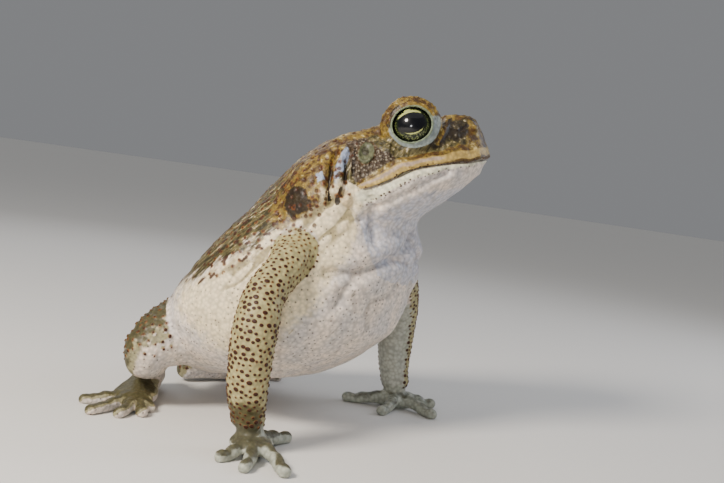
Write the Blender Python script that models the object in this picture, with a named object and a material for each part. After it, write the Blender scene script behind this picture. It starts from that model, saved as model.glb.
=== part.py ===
"""Cane toad sitting up on its forelimbs: a still, life-size model in closed solids.

Tables and sizes are in millimetres in the toad's own frame, with +X the way the body points,
+Y its left and +Z up from the floor under its hands and feet. The solids are made in metres.
"""
import math
import random

import bmesh
import bpy
import numpy as np
from mathutils import Vector

MM = 0.001

# ---- driving sizes, mm --------------------------------------------------------------------
GAP = 0.3                 # clearance between nodes that touch
RING_TORSO = 32           # facets round the torso and head
RING_LIMB = 14            # facets round an arm or a leg
RING_DIGIT = 7            # facets round a finger or a toe

SNOUT = (29.4, 8.6, 83.2)      # tip of the snout, on the line of the mouth
HEAD_PITCH = 24.0              # the mouth line rises forwards, degrees
HEAD_YAW = 17.0                # the head turns to the toad's left, degrees

EYE_RADIUS = 6.2
EYE_BEHIND_SNOUT = 16.8
EYE_ABOVE_MOUTH = 12.0
EYE_OUT = 13.9                 # from the head's middle to the centre of the eyeball
EYE_APERTURE = (5.2, 4.6)      # half length and half height of the opening of the lids
LID_THICKNESS = 1.15

# torso stations, rump to nape: x, z, half width, rise to the back, drop to the belly, pitch
TORSO = (
    (-49.0, 10.0, 7.0, 5.0, 4.0, 62.0),
    (-45.8, 13.2, 16.5, 10.0, 9.0, 60.0),
    (-40.4, 18.2, 26.0, 14.2, 14.5, 58.0),
    (-32.8, 26.0, 33.5, 18.6, 23.5, 55.0),
    (-23.4, 35.2, 36.0, 20.8, 28.0, 54.0),
    (-13.4, 47.0, 32.5, 21.6, 29.5, 54.0),
    (-5.1, 58.2, 27.5, 21.8, 22.5, 50.0),
)

# head stations: mm behind the snout, half width, rise above and drop below the mouth line
HEAD = (
    (-1.2, 3.2, 5.8, 1.8),
    (-0.5, 5.6, 9.4, 2.9),
    (0.9, 7.7, 11.4, 4.0),
    (3.5, 10.4, 12.5, 5.2),
    (8.5, 14.4, 13.0, 7.4),
    (14.0, 17.6, 12.8, 9.2),
    (20.0, 20.0, 13.2, 11.0),
    (27.0, 21.8, 14.6, 13.0),
    (36.0, 22.4, 16.2, 15.2),
)

# limb stations: x, y, z, half width, half height; the left limbs are given by themselves
ARM_RIGHT = (
    (-4.0, -15.0, 52.5, 6.2, 5.8),
    (-6.3, -24.0, 52.1, 5.6, 5.2),
    (-5.6, -33.0, 47.1, 4.8, 4.8),
    (-6.5, -40.0, 40.2, 5.1, 5.1),
    (-5.8, -44.0, 32.8, 5.7, 5.6),
    (-5.7, -45.0, 24.1, 5.6, 5.2),
    (-5.3, -44.2, 14.0, 5.1, 4.5),
    (-5.0, -43.2, 7.4, 4.0, 3.4),
)
ARM_LEFT = (
    (-3.0, 14.0, 48.5, 6.6, 6.2),
    (-1.0, 24.0, 46.5, 6.8, 6.2),
    (0.2, 31.0, 40.5, 6.4, 6.0),
    (-0.2, 36.5, 33.0, 6.0, 5.6),
    (-1.2, 40.0, 24.5, 5.6, 5.2),
    (-1.0, 41.6, 14.0, 4.8, 4.4),
    (0.0, 42.0, 7.4, 3.9, 3.4),
)


def spline(rows, count):
    """Catmull-Rom through the rows of a table, read at count even steps."""
    rows = np.asarray(rows, float)
    padded = np.vstack([2 * rows[0] - rows[1], rows, 2 * rows[-1] - rows[-2]])
    t = np.linspace(0.0, len(rows) - 1.0, count)
    i = np.minimum(t.astype(int), len(rows) - 2)
    u = (t - i)[:, None]
    a, b, c, d = padded[i], padded[i + 1], padded[i + 2], padded[i + 3]
    return 0.5 * (2 * b + (c - a) * u + (2 * a - 5 * b + 4 * c - d) * u ** 2
                  + (3 * b - a - 3 * c + d) * u ** 3)


def unit(v):
    v = np.asarray(v, float)
    return v / np.linalg.norm(v, axis=-1, keepdims=True)


def frame(pitch, yaw):
    """Forward, left and up directions for a pitch and a yaw in degrees."""
    p, y = np.radians(pitch), np.radians(yaw)
    forward = np.stack([np.cos(p) * np.cos(y), np.cos(p) * np.sin(y), np.sin(p)], -1)
    left = np.stack([-np.sin(y), np.cos(y), 0 * y], -1)
    up = np.stack([-np.sin(p) * np.cos(y), -np.sin(p) * np.sin(y), np.cos(p)], -1)
    return forward, left, up


HEAD_FORWARD, HEAD_LEFT, HEAD_UP = frame(np.array(HEAD_PITCH), np.array(HEAD_YAW))


def head_point(behind, out, above):
    """A place on the head: mm behind the snout, to the left, and above the mouth line."""
    return (np.asarray(SNOUT) - np.multiply.outer(behind, HEAD_FORWARD)
            + np.multiply.outer(out, HEAD_LEFT) + np.multiply.outer(above, HEAD_UP))


# ---- meshes -------------------------------------------------------------------------------
def new_object(name, verts, faces, collection):
    mesh = bpy.data.meshes.new(name)
    mesh.from_pydata([tuple(v) for v in np.asarray(verts, float) * MM], [], faces)
    mesh.update()
    obj = bpy.data.objects.new(name, mesh)
    collection.objects.link(obj)
    return obj


def loft(name, rings, collection):
    """A closed skin through rings of equal counts, with a point at the middle of each end."""
    rings = np.asarray(rings, float)
    rows, count = rings.shape[:2]
    verts = np.vstack([rings.reshape(-1, 3), rings[0].mean(0), rings[-1].mean(0)])
    faces = []
    for i in range(rows - 1):
        for j in range(count):
            k = (j + 1) % count
            faces.append((i * count + j, i * count + k, (i + 1) * count + k, (i + 1) * count + j))
    first, last = rows * count, rows * count + 1
    end = (rows - 1) * count
    for j in range(count):
        k = (j + 1) % count
        faces.append((k, j, first))
        faces.append((end + j, end + k, last))
    return new_object(name, verts, faces, collection)


def body_rings(stations, count, grow=0.0):
    """Rings of the torso or head from rows of centre, width, rise, drop, pitch, yaw, squareness."""
    s = np.asarray(stations, float)
    forward, left, up = frame(s[:, 6], s[:, 7])
    a = np.linspace(0.0, 2 * np.pi, count, endpoint=False)
    power = np.where(np.sin(a) >= 0, s[:, 8:9], s[:, 9:10])
    side = np.sign(np.cos(a)) * np.abs(np.cos(a)) ** power
    high = np.sign(np.sin(a)) * np.abs(np.sin(a)) ** power
    tall = np.where(np.sin(a) >= 0, s[:, 4:5], s[:, 5:6]) + grow
    wide = s[:, 3:4] + grow
    return (s[:, None, :3] + (side * wide)[..., None] * left[:, None]
            + (high * tall)[..., None] * up[:, None])


def tube_rings(stations, count, reference, grow=0.0):
    """Rings of a limb along x, y, z with half width and half height in the last columns."""
    s = np.asarray(stations, float)
    forward = unit(np.gradient(s[:, :3], axis=0))
    side = unit(np.cross(np.asarray(reference, float), forward))
    up = np.cross(forward, side)
    a = np.linspace(0.0, 2 * np.pi, count, endpoint=False)
    return (s[:, None, :3]
            + ((s[:, 3:4] + grow) * np.cos(a))[..., None] * side[:, None]
            + ((s[:, 4:5] + grow) * np.sin(a))[..., None] * up[:, None])


def ball(name, centre, radii, collection, axes=None, segments=12, levels=8):
    """An ellipsoid from a sphere primitive, its axes along the rows of axes."""
    bm = bmesh.new()
    bmesh.ops.create_uvsphere(bm, u_segments=segments, v_segments=levels, radius=1.0)
    mesh = bpy.data.meshes.new(name)
    bm.to_mesh(mesh)
    bm.free()
    axes = np.eye(3) if axes is None else np.asarray(axes, float)
    points = np.empty(len(mesh.vertices) * 3)
    mesh.vertices.foreach_get("co", points)
    points = (points.reshape(-1, 3) * radii) @ axes + np.asarray(centre, float)
    mesh.vertices.foreach_set("co", (points * MM).ravel())
    if np.linalg.det(axes) < 0:
        mesh.flip_normals()
    obj = bpy.data.objects.new(name, mesh)
    collection.objects.link(obj)
    return obj


def boolean(obj, operation, others, solver="MANIFOLD"):
    """Join or cut obj with the other closed meshes, apply it and keep its largest surface."""
    group = bpy.data.collections.new("cutters")
    for other in others:
        group.objects.link(other)
    modifier = obj.modifiers.new("boolean", "BOOLEAN")
    modifier.operation = operation
    modifier.operand_type = "COLLECTION"
    modifier.collection = group
    modifier.solver = solver
    bpy.context.view_layer.update()
    evaluated = obj.evaluated_get(bpy.context.evaluated_depsgraph_get())
    mesh = bpy.data.meshes.new_from_object(evaluated)
    obj.modifiers.clear()
    obj.data = mesh
    bpy.data.collections.remove(group)
    for other in others:
        bpy.data.objects.remove(other)
    keep_largest(obj)
    return obj


def keep_largest(obj):
    """Delete every closed surface of a mesh but the one with the most volume."""
    bm = bmesh.new()
    bm.from_mesh(obj.data)
    bmesh.ops.triangulate(bm, faces=bm.faces)
    bm.faces.ensure_lookup_table()
    unseen = set(bm.faces)
    pieces = []
    while unseen:
        stack = [unseen.pop()]
        piece = []
        while stack:
            face = stack.pop()
            piece.append(face)
            for edge in face.edges:
                for near in edge.link_faces:
                    if near in unseen:
                        unseen.remove(near)
                        stack.append(near)
        pieces.append(piece)

    def volume(piece):
        return abs(sum(f.verts[0].co.dot(f.verts[1].co.cross(f.verts[2].co)) for f in piece))

    best = max(pieces, key=volume)
    for piece in pieces:
        if piece is not best:
            bmesh.ops.delete(bm, geom=piece, context="FACES")
    loose = [v for v in bm.verts if not v.link_faces]
    bmesh.ops.delete(bm, geom=loose, context="VERTS")
    bm.to_mesh(obj.data)
    bm.free()


def skin_material(name, colour, roughness):
    """A plain Principled finish for one kind of skin or eye."""
    material = bpy.data.materials.new(name)
    material.use_nodes = True
    shader = material.node_tree.nodes["Principled BSDF"]
    shader.inputs["Base Color"].default_value = (*colour, 1.0)
    shader.inputs["Roughness"].default_value = roughness
    return material


# ---- the torso ----------------------------------------------------------------------------
TORSO_RINGS = 22
ROUND_TORSO = (0.92, 0.92)    # of the upper and lower half; below 1 is fuller than an ellipse
ROUND_HEAD = (0.72, 0.88)
CHEST = ((1.6, 0.8, 51.0), (13.8, 22.5, 15.0))     # middle and half sizes of the breast
CLEARANCE = 0.45          # a limb's root is cut back this far from the torso
HEAD_RINGS = 16
PAROTOID_ENDS = ((0.862, 14.0), (0.985, 46.0))     # rear and front: along, around from the side
PAROTOID = (7.8, 4.6)                              # half width, half height
WART_COUNT = 44
WART_RADII = (1.0, 2.3)
WART_HEIGHT = 1.0
WART_FIELD = ((0.10, 0.80), (36.0, 144.0))         # along the back; around, in degrees
WART_SPACING = 4.2
LEG_TOP, LEG_INNER = 36.0, 8.0                     # no wart lower and further out than these


def head_rows():
    return [(*head_point(behind, 0.0, 0.0), wide, rise, drop, HEAD_PITCH, HEAD_YAW, *ROUND_HEAD)
            for behind, wide, rise, drop in HEAD]


def torso_stations():
    """Rump to nape: the last ring faces the back of the head across the gap."""
    rows = [(x, 0.0, z, w, up, down, pitch, 0.0, *ROUND_TORSO)
            for x, z, w, up, down, pitch in TORSO]
    behind, wide, rise, drop = HEAD[-1]
    nape = head_point(behind + GAP, 0.0, 0.0)
    rows.append((*nape, wide, rise, drop, HEAD_PITCH, HEAD_YAW, *ROUND_HEAD))
    return spline(rows, TORSO_RINGS)


def torso_hull(collection, grow=0.0, name="torso"):
    stations = torso_stations()
    rings = body_rings(stations, RING_TORSO, grow)
    if grow:
        forward = frame(stations[[0, -1], 6], stations[[0, -1], 7])[0]
        rings[0] -= forward[0] * grow
        rings[-1] += forward[1] * grow
    return loft(name, rings, collection)


def back_point(along, around, lift=0.0):
    """A place on the torso: along from rump 0 to nape 1, around in degrees up from the left."""
    rings = spline(torso_stations(), 101)[int(round(along * 100))][None]
    centre, wide, tall = rings[0, :3], rings[0, 3], rings[0, 4]
    forward, left, up = frame(rings[0, 6], rings[0, 7])
    a = math.radians(around)
    out = left * math.cos(a) / wide + up * math.sin(a) / tall
    point = centre + left * wide * math.cos(a) + up * tall * math.sin(a)
    normal = unit(out)
    return point + normal * lift, normal, forward


def head_hull(collection, grow=0.0, name="head"):
    """The plain head, nape to snout so that its faces point out."""
    rows = spline(head_rows()[::-1], HEAD_RINGS)
    return loft(name, body_rings(rows, RING_TORSO, grow), collection)


def chest(collection, grow=0.0):
    """The breast, full between the throat and the forelimbs."""
    middle, half = CHEST
    return ball("chest", middle, np.add(half, grow), collection, None, 24, 14)


def clear_of_torso(obj, collection):
    """Cut a limb back from the torso by the gap."""
    cutters = [torso_hull(collection, CLEARANCE, "clearance"), chest(collection, CLEARANCE)]
    return boolean(obj, "DIFFERENCE", cutters)


def scattered_warts():
    """Coarse warts at random over the back, none nearer another than the spacing."""
    rng = random.Random(7)
    placed = []
    while len(placed) < WART_COUNT:
        (back, front), (low, high) = WART_FIELD
        point, normal, forward = back_point(rng.uniform(back, front), rng.uniform(low, high), -0.1)
        by_the_leg = point[2] < LEG_TOP and abs(point[1]) > LEG_INNER
        crowded = any(np.linalg.norm(point - other[0]) < WART_SPACING for other in placed)
        if not by_the_leg and not crowded:
            placed.append((point, normal, forward, rng.uniform(*WART_RADII)))
    return placed


def parotoid(side, collection):
    """The long gland of one shoulder, from behind the eardrum back and down; side 1 is left."""
    rear, front = (back_point(along, around if side > 0 else 180.0 - around, -1.6)
                   for along, around in PAROTOID_ENDS)
    along = unit(front[0] - rear[0])
    normal = unit(front[1] + rear[1])
    normal = unit(normal - along * normal.dot(along))
    length = np.linalg.norm(front[0] - rear[0]) / 2 + 1.5
    return ball("parotoid", (front[0] + rear[0]) / 2, (length, *PAROTOID), collection,
                (along, np.cross(normal, along), normal), 16, 10)


def make_torso(collection):
    torso = torso_hull(collection)
    bumps = [chest(collection)]
    for side in (1, -1):
        bumps.append(parotoid(side, collection))
    for point, normal, forward, radius in scattered_warts():
        across = unit(np.cross(normal, forward))
        axes = (np.cross(across, normal), across, normal)
        size = (radius * 1.25, radius, WART_HEIGHT + 0.25 * radius)
        bumps.append(ball("wart", point, size, collection, axes, 6, 4))
    boolean(torso, "UNION", bumps)
    return boolean(torso, "DIFFERENCE", [head_hull(collection, GAP, "clearance")])


# ---- the head -----------------------------------------------------------------------------
CREST = 1.3               # radius of the bony ridges of the skull
BROW = 1.25               # radius of the fold along the upper lid
BROW_RISE = -0.35
BROW_ANGLES = (-8.0, 25.0, 60.0, 95.0, 130.0, 165.0, 195.0)
NOSTRIL = 0.75
# the ridge from the eye back to the nape: behind the snout, out, above the mouth
TEMPLE = ((22.0, 11.5, 14.0), (25.0, 11.5, 13.7), (29.0, 12.0, 13.1), (33.5, 12.5, 13.1))
TEMPLE_SIZE = (1.6, 2.3)  # half width, half height
MOUTH_CORNER = 32.0       # behind the snout
# the line where the lips meet: behind the snout, above the head's own level
MOUTH = ((-2.0, -1.25), (1.3, -1.2), (4.3, -1.0), (8.0, -0.3), (13.5, 0.35), (18.5, 0.75),
         (23.0, 0.0), (28.0, -0.75), (33.0, -0.7), (42.0, -0.7))
LIP_UPPER = 1.5
LIP_LOWER = 1.2
NOSTRIL_AT = (3.3, 8.8)   # behind the snout, above the mouth
TYMPANUM = (29.7, 8.5)    # behind the snout, above the mouth
TYMPANUM_SIZE = (2.3, 2.8)


def mouth_height(behind):
    """The mouth line is low at the snout, bows up below the eye and drops to the corner."""
    line = spline(MOUTH, 60)
    return np.interp(behind, line[:, 0], line[:, 1])


def side_of_head(behind, above, side, lift=0.0):
    """The skin at a place on one side of the head; side is 1 left, -1 right."""
    table = np.asarray(HEAD)
    wide = np.interp(behind, table[:, 0], table[:, 1])
    tall = np.interp(behind, table[:, 0], table[:, 2 if above >= 0 else 3])
    power = ROUND_HEAD[0 if above >= 0 else 1]
    share = min(abs(above) / tall, 0.999) ** (1 / power)
    out = wide * math.sqrt(1 - share ** 2) ** power
    return head_point(behind, side * (out + lift), above)


def tube(name, points, radii, collection, count=8, reference=None, steps=None):
    """A tapered tube with round ends through points, radii given as (side, up) pairs."""
    rows = np.hstack([np.asarray(points, float), np.asarray(radii, float)])
    rows = spline(rows, steps or 3 * len(rows))
    reach = unit(rows[-1, :3] - rows[-2, :3])
    back = unit(rows[0, :3] - rows[1, :3])
    first, last = rows[0].copy(), rows[-1].copy()
    caps = []
    for end, way in ((first, back), (last, reach)):
        cap = end.copy()
        cap[:3] += way * 0.6 * end[3:].min()
        cap[3:] *= 0.6
        caps.append(cap)
    rows = np.vstack([caps[0], rows, caps[1]])
    reference = HEAD_UP if reference is None else reference
    return loft(name, tube_rings(rows, count, reference), collection)


def eye_frame(side):
    """Centre of an eyeball and its outward, forward and up directions."""
    centre = head_point(EYE_BEHIND_SNOUT, side * EYE_OUT, EYE_ABOVE_MOUTH)
    out = unit(HEAD_LEFT * side + 0.14 * HEAD_FORWARD + 0.08 * HEAD_UP)
    up = unit(HEAD_UP - out * HEAD_UP.dot(out))
    along = np.cross(up, out) * side * -1.0
    return centre, out, along, up


def brow(side, collection):
    """The thick edge of the upper lid, an arch over the eye from back to front."""
    centre, out, along, up = eye_frame(side)
    reach = EYE_RADIUS + LID_THICKNESS + BROW_RISE
    points = []
    for degrees in BROW_ANGLES:
        a = math.radians(degrees)
        points.append(centre + along * reach * math.cos(a) + up * reach * math.sin(a) + out * 1.4)
    return tube("brow", points, [(BROW, BROW)] * len(points), collection, 8, out, 12)


def make_head(collection):
    head = head_hull(collection)
    extras = []
    for side in (1, -1):
        centre, out, along, up = eye_frame(side)
        lid = EYE_RADIUS + LID_THICKNESS
        extras.append(ball("lid", centre, (lid * 1.06, lid * 0.98, lid), collection,
                           (along, out, up), 16, 10))
        crest = [side_of_head(b, h, side, -0.4) for b, h in ((2.6, 10.2), (6.0, 11.2), (10.2, 12.4))]
        extras.append(tube("canthal_crest", crest, [(CREST, CREST)] * 3, collection))
        extras.append(brow(side, collection))
        crest = [side_of_head(b, h, side, -0.5) for b, h in ((7.6, 11.4), (8.0, 8.8), (10.6, 6.2))]
        extras.append(tube("preorbital_crest", crest, [(CREST, CREST)] * 3, collection))
        crest = [side_of_head(b, h, side, -0.8) for b, h in ((22.3, 11.4), (23.8, 8.6), (24.2, 6.0))]
        extras.append(tube("postorbital_crest", crest, [(CREST, CREST)] * 3, collection))
        crest = [head_point(b, side * out, h) for b, out, h in TEMPLE]
        extras.append(tube("temple_crest", crest, [TEMPLE_SIZE] * len(TEMPLE), collection, 8,
                           None, 8))
        at = side_of_head(*TYMPANUM, side, -0.5)
        extras.append(ball("tympanum", at, (TYMPANUM_SIZE[0], 1.3, TYMPANUM_SIZE[1]), collection,
                           (HEAD_FORWARD, HEAD_LEFT, HEAD_UP), 12, 8))
        extras.append(ball("nostril_rim", side_of_head(*NOSTRIL_AT, side, -0.6), (1.7, 1.5, 1.5),
                           collection, (HEAD_FORWARD, HEAD_LEFT, HEAD_UP), 10, 6))
    for radius, shift, name in ((LIP_UPPER, 1.35, "upper_lip"), (LIP_LOWER, -1.25, "lower_lip")):
        extras.append(lip(name, radius, shift, collection))
    boolean(head, "UNION", extras)
    cuts = []
    for side in (1, -1):
        centre, out, along, up = eye_frame(side)
        cuts.append(ball("socket", centre, [EYE_RADIUS + GAP] * 3, collection,
                         (along, out, up), 16, 10))
        half_long, half_high = EYE_APERTURE
        path = [centre + out * d for d in (1.0, 8.0, 15.0)]
        rows = np.hstack([path, [(half_long, half_high)] * 3])
        cuts.append(loft("aperture", tube_rings(rows, 16, up), collection))
        pit = side_of_head(*NOSTRIL_AT, side, 0.9)
        cuts.append(ball("nostril", pit, [NOSTRIL] * 3, collection, None, 8, 6))
    boolean(head, "DIFFERENCE", cuts)
    return head


def lip(name, radius, shift, collection):
    """A fold of skin along the mouth from corner to corner round the snout."""
    behind = MOUTH_CORNER * np.array([0.97, 0.8, 0.6, 0.42, 0.26, 0.13, 0.04])
    sink = -0.62 * radius
    right = [side_of_head(b, 0.0, -1, sink) + HEAD_UP * (mouth_height(b) + shift)
             for b in behind]
    left = [side_of_head(b, 0.0, 1, sink) + HEAD_UP * (mouth_height(b) + shift)
            for b in behind[::-1]]
    front = [head_point(0.5, 0.0, mouth_height(0.0) + shift)]
    points = right + front + left
    shares = np.abs(np.linspace(-1.0, 1.0, len(points)))
    radii = [(radius * (1 - 0.45 * share ** 3),) * 2 for share in shares]
    return tube(name, points, radii, collection, 6, HEAD_UP, 22)


def mouth_block(name, above, collection):
    """A block of all that is above or below the mouth line, reaching past it by half the gap."""
    behind = np.linspace(-8.0, HEAD[-1][0] + 6.0, 17)
    half = -GAP / 2 if above else GAP / 2
    far = 60.0 if above else -60.0
    verts, faces = [], []
    for b in behind:
        level = mouth_height(b) + half
        for out, height in ((-50, level), (50, level), (50, far), (-50, far)):
            verts.append(head_point(b, out, height))
    rows = len(behind)
    for i in range(rows - 1):
        for j in range(4):
            k = (j + 1) % 4
            faces.append((i * 4 + j, i * 4 + k, i * 4 + 4 + k, i * 4 + 4 + j))
    faces.append((0, 1, 2, 3))
    faces.append(tuple((rows - 1) * 4 + j for j in (3, 2, 1, 0)))
    block = new_object(name, verts, faces, collection)
    bm = bmesh.new()
    bm.from_mesh(block.data)
    bmesh.ops.recalc_face_normals(bm, faces=bm.faces)
    bm.to_mesh(block.data)
    bm.free()
    return block


def part_jaw(head, collection):
    """Cut the head along the mouth into the head proper and the lower jaw."""
    jaw = bpy.data.objects.new("lower_jaw", head.data.copy())
    collection.objects.link(jaw)
    boolean(head, "DIFFERENCE", [mouth_block("below", False, collection)])
    boolean(jaw, "DIFFERENCE", [mouth_block("above", True, collection)])
    return jaw


def make_eye(side, collection):
    centre, out, along, up = eye_frame(side)
    name = "eye_left" if side > 0 else "eye_right"
    return ball(name, centre, [EYE_RADIUS] * 3, collection, (along, up, out), 16, 10)


# ---- the limbs ----------------------------------------------------------------------------
LIMB_STEPS = 5            # rings for each station of a limb
ROUND_END = ((0.45, 0.86), (0.82, 0.5))    # a limb's round end: reach and size of its last rings
DIGIT_ROUND = 0.25        # how far a digit's underside is sunk below the floor and cut flat

# finger and toe tips on the floor: x, y; the palm or the end of the sole is the root
HAND_RIGHT = (-3.6, -42.6)
FINGERS_RIGHT = ((-2.0, -26.5), (12.0, -53.0), (3.6, -57.5), (-4.6, -55.0))
HAND_LEFT = (0.6, 42.2)
FINGERS_LEFT = ((-12.5, 34.0), (3.0, 27.0), (15.5, 38.0), (10.0, 52.0))
THIGH = (
    (-38.0, 6.0, 22.5, 10.5, 10.5),
    (-40.2, 14.0, 22.8, 10.5, 10.5),
    (-42.8, 21.0, 21.6, 9.6, 9.6),
    (-45.4, 27.5, 19.0, 7.8, 8.0),
    (-46.8, 31.0, 16.8, 6.0, 6.2),
)
SHANK = (
    (-47.2, 30.5, 13.6, 5.2, 5.0),
    (-49.2, 26.0, 12.8, 5.8, 5.4),
    (-52.2, 20.0, 11.8, 5.6, 5.4),
    (-55.3, 14.0, 9.8, 4.8, 4.6),
    (-57.0, 9.5, 8.4, 3.4, 3.2),
)
SOLE = (
    (-58.0, 8.5, 4.2, 3.2, 3.2),
    (-56.5, 14.0, 3.8, 4.2, 3.3),
    (-53.5, 21.0, 3.2, 5.0, 3.0),
    (-50.5, 28.0, 2.4, 6.2, 2.6),
    (-49.5, 31.5, 1.9, 4.0, 1.9),
)
TOE_ROOT = (-51.0, 27.0)
TOES = ((-42.0, 32.0), (-40.5, 38.0), (-43.5, 44.0), (-50.0, 47.5), (-58.5, 40.0))
FINGER_RADII = (2.2, 1.7)      # at the root and near the tip
TOE_RADII = (2.1, 1.6)
WEB_REACH = 0.55          # how far along the toes the webbing runs
WEB_THICK = 0.9


def limb_rings(stations, count, reference, grow=0.0, rounded=False):
    """Rings of a limb; rounded adds the last rings of a round end at both of its ends."""
    rows = spline(stations, LIMB_STEPS * (len(stations) - 1) // 2 + 1)
    if rounded:
        ends = []
        for end, inner in ((rows[0], rows[1]), (rows[-1], rows[-2])):
            way = unit(end[:3] - inner[:3])
            ends.append([np.hstack([end[:3] + way * reach * end[3:].mean(), end[3:] * size])
                         for reach, size in ROUND_END])
        rows = np.vstack([ends[0][::-1], rows, ends[1]])
    return tube_rings(rows, count, reference, grow)


def floor_block(collection):
    """Everything below the floor."""
    verts = [(x, y, z) for z in (-30, 0) for x, y in ((-120, -90), (90, -90), (90, 90), (-120, 90))]
    faces = [(3, 2, 1, 0), (4, 5, 6, 7), (0, 1, 5, 4), (1, 2, 6, 5), (2, 3, 7, 6), (3, 0, 4, 7)]
    return new_object("floor", verts, faces, collection)


def digit(name, root, tip, radii, collection, rise=1.2):
    """A finger or toe from root to tip along the floor, with a knuckle and a round end."""
    root, tip = np.asarray(root, float), np.asarray(tip, float)
    thick, thin = radii
    shape = ((0.0, 1.15, rise), (0.3, 1.0, 0.5 * rise), (0.55, 1.05, 0.25 * rise),
             (0.8, 0.82, 0.0), (1.0, 0.72, 0.0))
    points, sizes = [], []
    for share, size, lift in shape:
        radius = (thick * (1 - share) + thin * share) * size
        points.append((*(root * (1 - share) + tip * share), radius - DIGIT_ROUND + lift))
        sizes.append((radius * 1.05, radius))
    return tube(name, points, sizes, collection, RING_DIGIT, (0.0, 0.0, 1.0), 7)


def web(name, root, tips, reach, collection):
    """A thin skin between two neighbouring toes, its free edge drawn in between them."""
    root = np.asarray(root, float)
    a, b = (root + reach * (np.asarray(tip, float) - root) for tip in tips)
    middle = root + 0.72 * ((a + b) / 2 - root)
    outline = [root, a, middle, b]
    low, high = 0.5, 0.5 + WEB_THICK
    verts = [(*p, low) for p in outline] + [(*p, high) for p in outline]
    faces = [(0, 1, 2), (0, 2, 3), (4, 6, 5), (4, 7, 6)]
    for i in range(4):
        j = (i + 1) % 4
        faces += [(i, i + 4, j), (j, i + 4, j + 4)]
    piece = new_object(name, verts, faces, collection)
    bm = bmesh.new()
    bm.from_mesh(piece.data)
    bmesh.ops.recalc_face_normals(bm, faces=bm.faces)
    bm.to_mesh(piece.data)
    bm.free()
    return piece


def make_arm(side_name, stations, palm, tips, collection):
    reference = (0.0, 1.0, 0.0)
    rings = limb_rings(stations, RING_LIMB, reference)
    split = (len(rings) * 5) // 8
    down = unit(rings[split].mean(0) - rings[split - 1].mean(0))
    upper = loft("upper_arm_" + side_name, rings[:split + 1], collection)
    lower = rings[split:].copy()
    lower[0] += down * GAP
    forearm = loft("forearm_" + side_name, lower, collection)
    wrist = lower[-1]
    centre = wrist.mean(0)
    way = unit(lower[-1].mean(0) - lower[-2].mean(0))
    start = wrist + way * GAP
    px, py = palm
    heel = (wrist - centre) * 1.05 + np.array([px, py, 3.6])
    base = (wrist - centre) * 0.9 + np.array([px, py, 1.4])
    hand = loft("hand_" + side_name, [start, heel, base], collection)
    extras = [ball("palm", (px, py, 2.6), (6.2, 5.8, 3.0), collection, None, 14, 8)]
    for tip in tips:
        extras.append(digit("finger", palm, tip, FINGER_RADII, collection))
    boolean(hand, "UNION", extras)
    boolean(hand, "DIFFERENCE", [floor_block(collection)])
    clear_of_torso(upper, collection)
    return upper, forearm, hand


def mirrored(rows, side):
    rows = np.array(rows, float)
    rows[:, 1] *= side
    return rows


def make_leg(side, collection):
    name = "left" if side > 0 else "right"
    reference = (0.0, 0.0, 1.0)
    thigh_rows, shank_rows, sole_rows = (mirrored(t, side) for t in (THIGH, SHANK, SOLE))
    thigh_rings = limb_rings(thigh_rows, RING_LIMB, reference, 0.0, True)
    shank_rings = limb_rings(shank_rows, RING_LIMB, reference, 0.0, True)
    thigh = loft("thigh_" + name, thigh_rings, collection)
    shank = loft("shank_" + name, shank_rings, collection)
    foot = loft("foot_" + name, limb_rings(sole_rows, 12, reference, 0.0, True), collection)
    toes = mirrored(TOES, side)
    root = (TOE_ROOT[0], TOE_ROOT[1] * side)
    extras = [digit("toe", root, tip, TOE_RADII, collection) for tip in toes]
    for first, second in zip(toes[:-1], toes[1:]):
        extras.append(web("web", root, (first, second), WEB_REACH, collection))
    boolean(foot, "UNION", extras)
    boolean(foot, "DIFFERENCE", [floor_block(collection)])
    for piece, rows in ((foot, shank_rows), (shank, thigh_rows)):
        clearance = limb_rings(rows, RING_LIMB, reference, CLEARANCE, True)
        boolean(piece, "DIFFERENCE", [loft("clearance", clearance, collection)])
    for piece in (thigh, shank, foot):
        clear_of_torso(piece, collection)
    return thigh, shank, foot


def build():
    for obj in list(bpy.data.objects):
        bpy.data.objects.remove(obj)
    toad = bpy.data.collections.new("cane_toad")
    bpy.context.scene.collection.children.link(toad)
    warty = skin_material("warty_back_skin", (0.25, 0.17, 0.08), 0.5)
    pale = skin_material("pale_belly_skin", (0.75, 0.70, 0.58), 0.45)
    eye = skin_material("eye_cornea", (0.02, 0.02, 0.015), 0.05)
    finishes = {}
    finishes[make_torso(toad)] = warty
    head = make_head(toad)
    finishes[head] = warty
    finishes[part_jaw(head, toad)] = pale
    for side in (1, -1):
        finishes[make_eye(side, toad)] = eye
        for piece in make_leg(side, toad):
            finishes[piece] = warty
    for piece in make_arm("right", ARM_RIGHT, HAND_RIGHT, FINGERS_RIGHT, toad):
        finishes[piece] = pale
    for piece in make_arm("left", ARM_LEFT, HAND_LEFT, FINGERS_LEFT, toad):
        finishes[piece] = pale
    for obj, material in finishes.items():
        obj.data.materials.clear()
        obj.data.materials.append(material)
    return finishes


def settle(objects):
    """Bring the middle of the model's footprint to the origin."""
    points = []
    for obj in objects:
        points += [tuple(v.co) for v in obj.data.vertices]
    points = np.asarray(points)
    low, high = points.min(0), points.max(0)
    shift = -np.array([(low[0] + high[0]) / 2, (low[1] + high[1]) / 2, low[2]])
    for obj in objects:
        for vertex in obj.data.vertices:
            vertex.co += Vector(shift)
        obj.data.shade_smooth()
    return shift


SHIFT_MM = settle(list(build())) / MM
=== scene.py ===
"""Finish of a cane toad model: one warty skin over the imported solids, horny wart tips and eyes.

Tables and sizes are in millimetres in the toad's own frame, with +X the way the body points,
+Y its left and +Z up from the floor, as in the solids. place() turns them into the frame's metres.
"""

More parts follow.
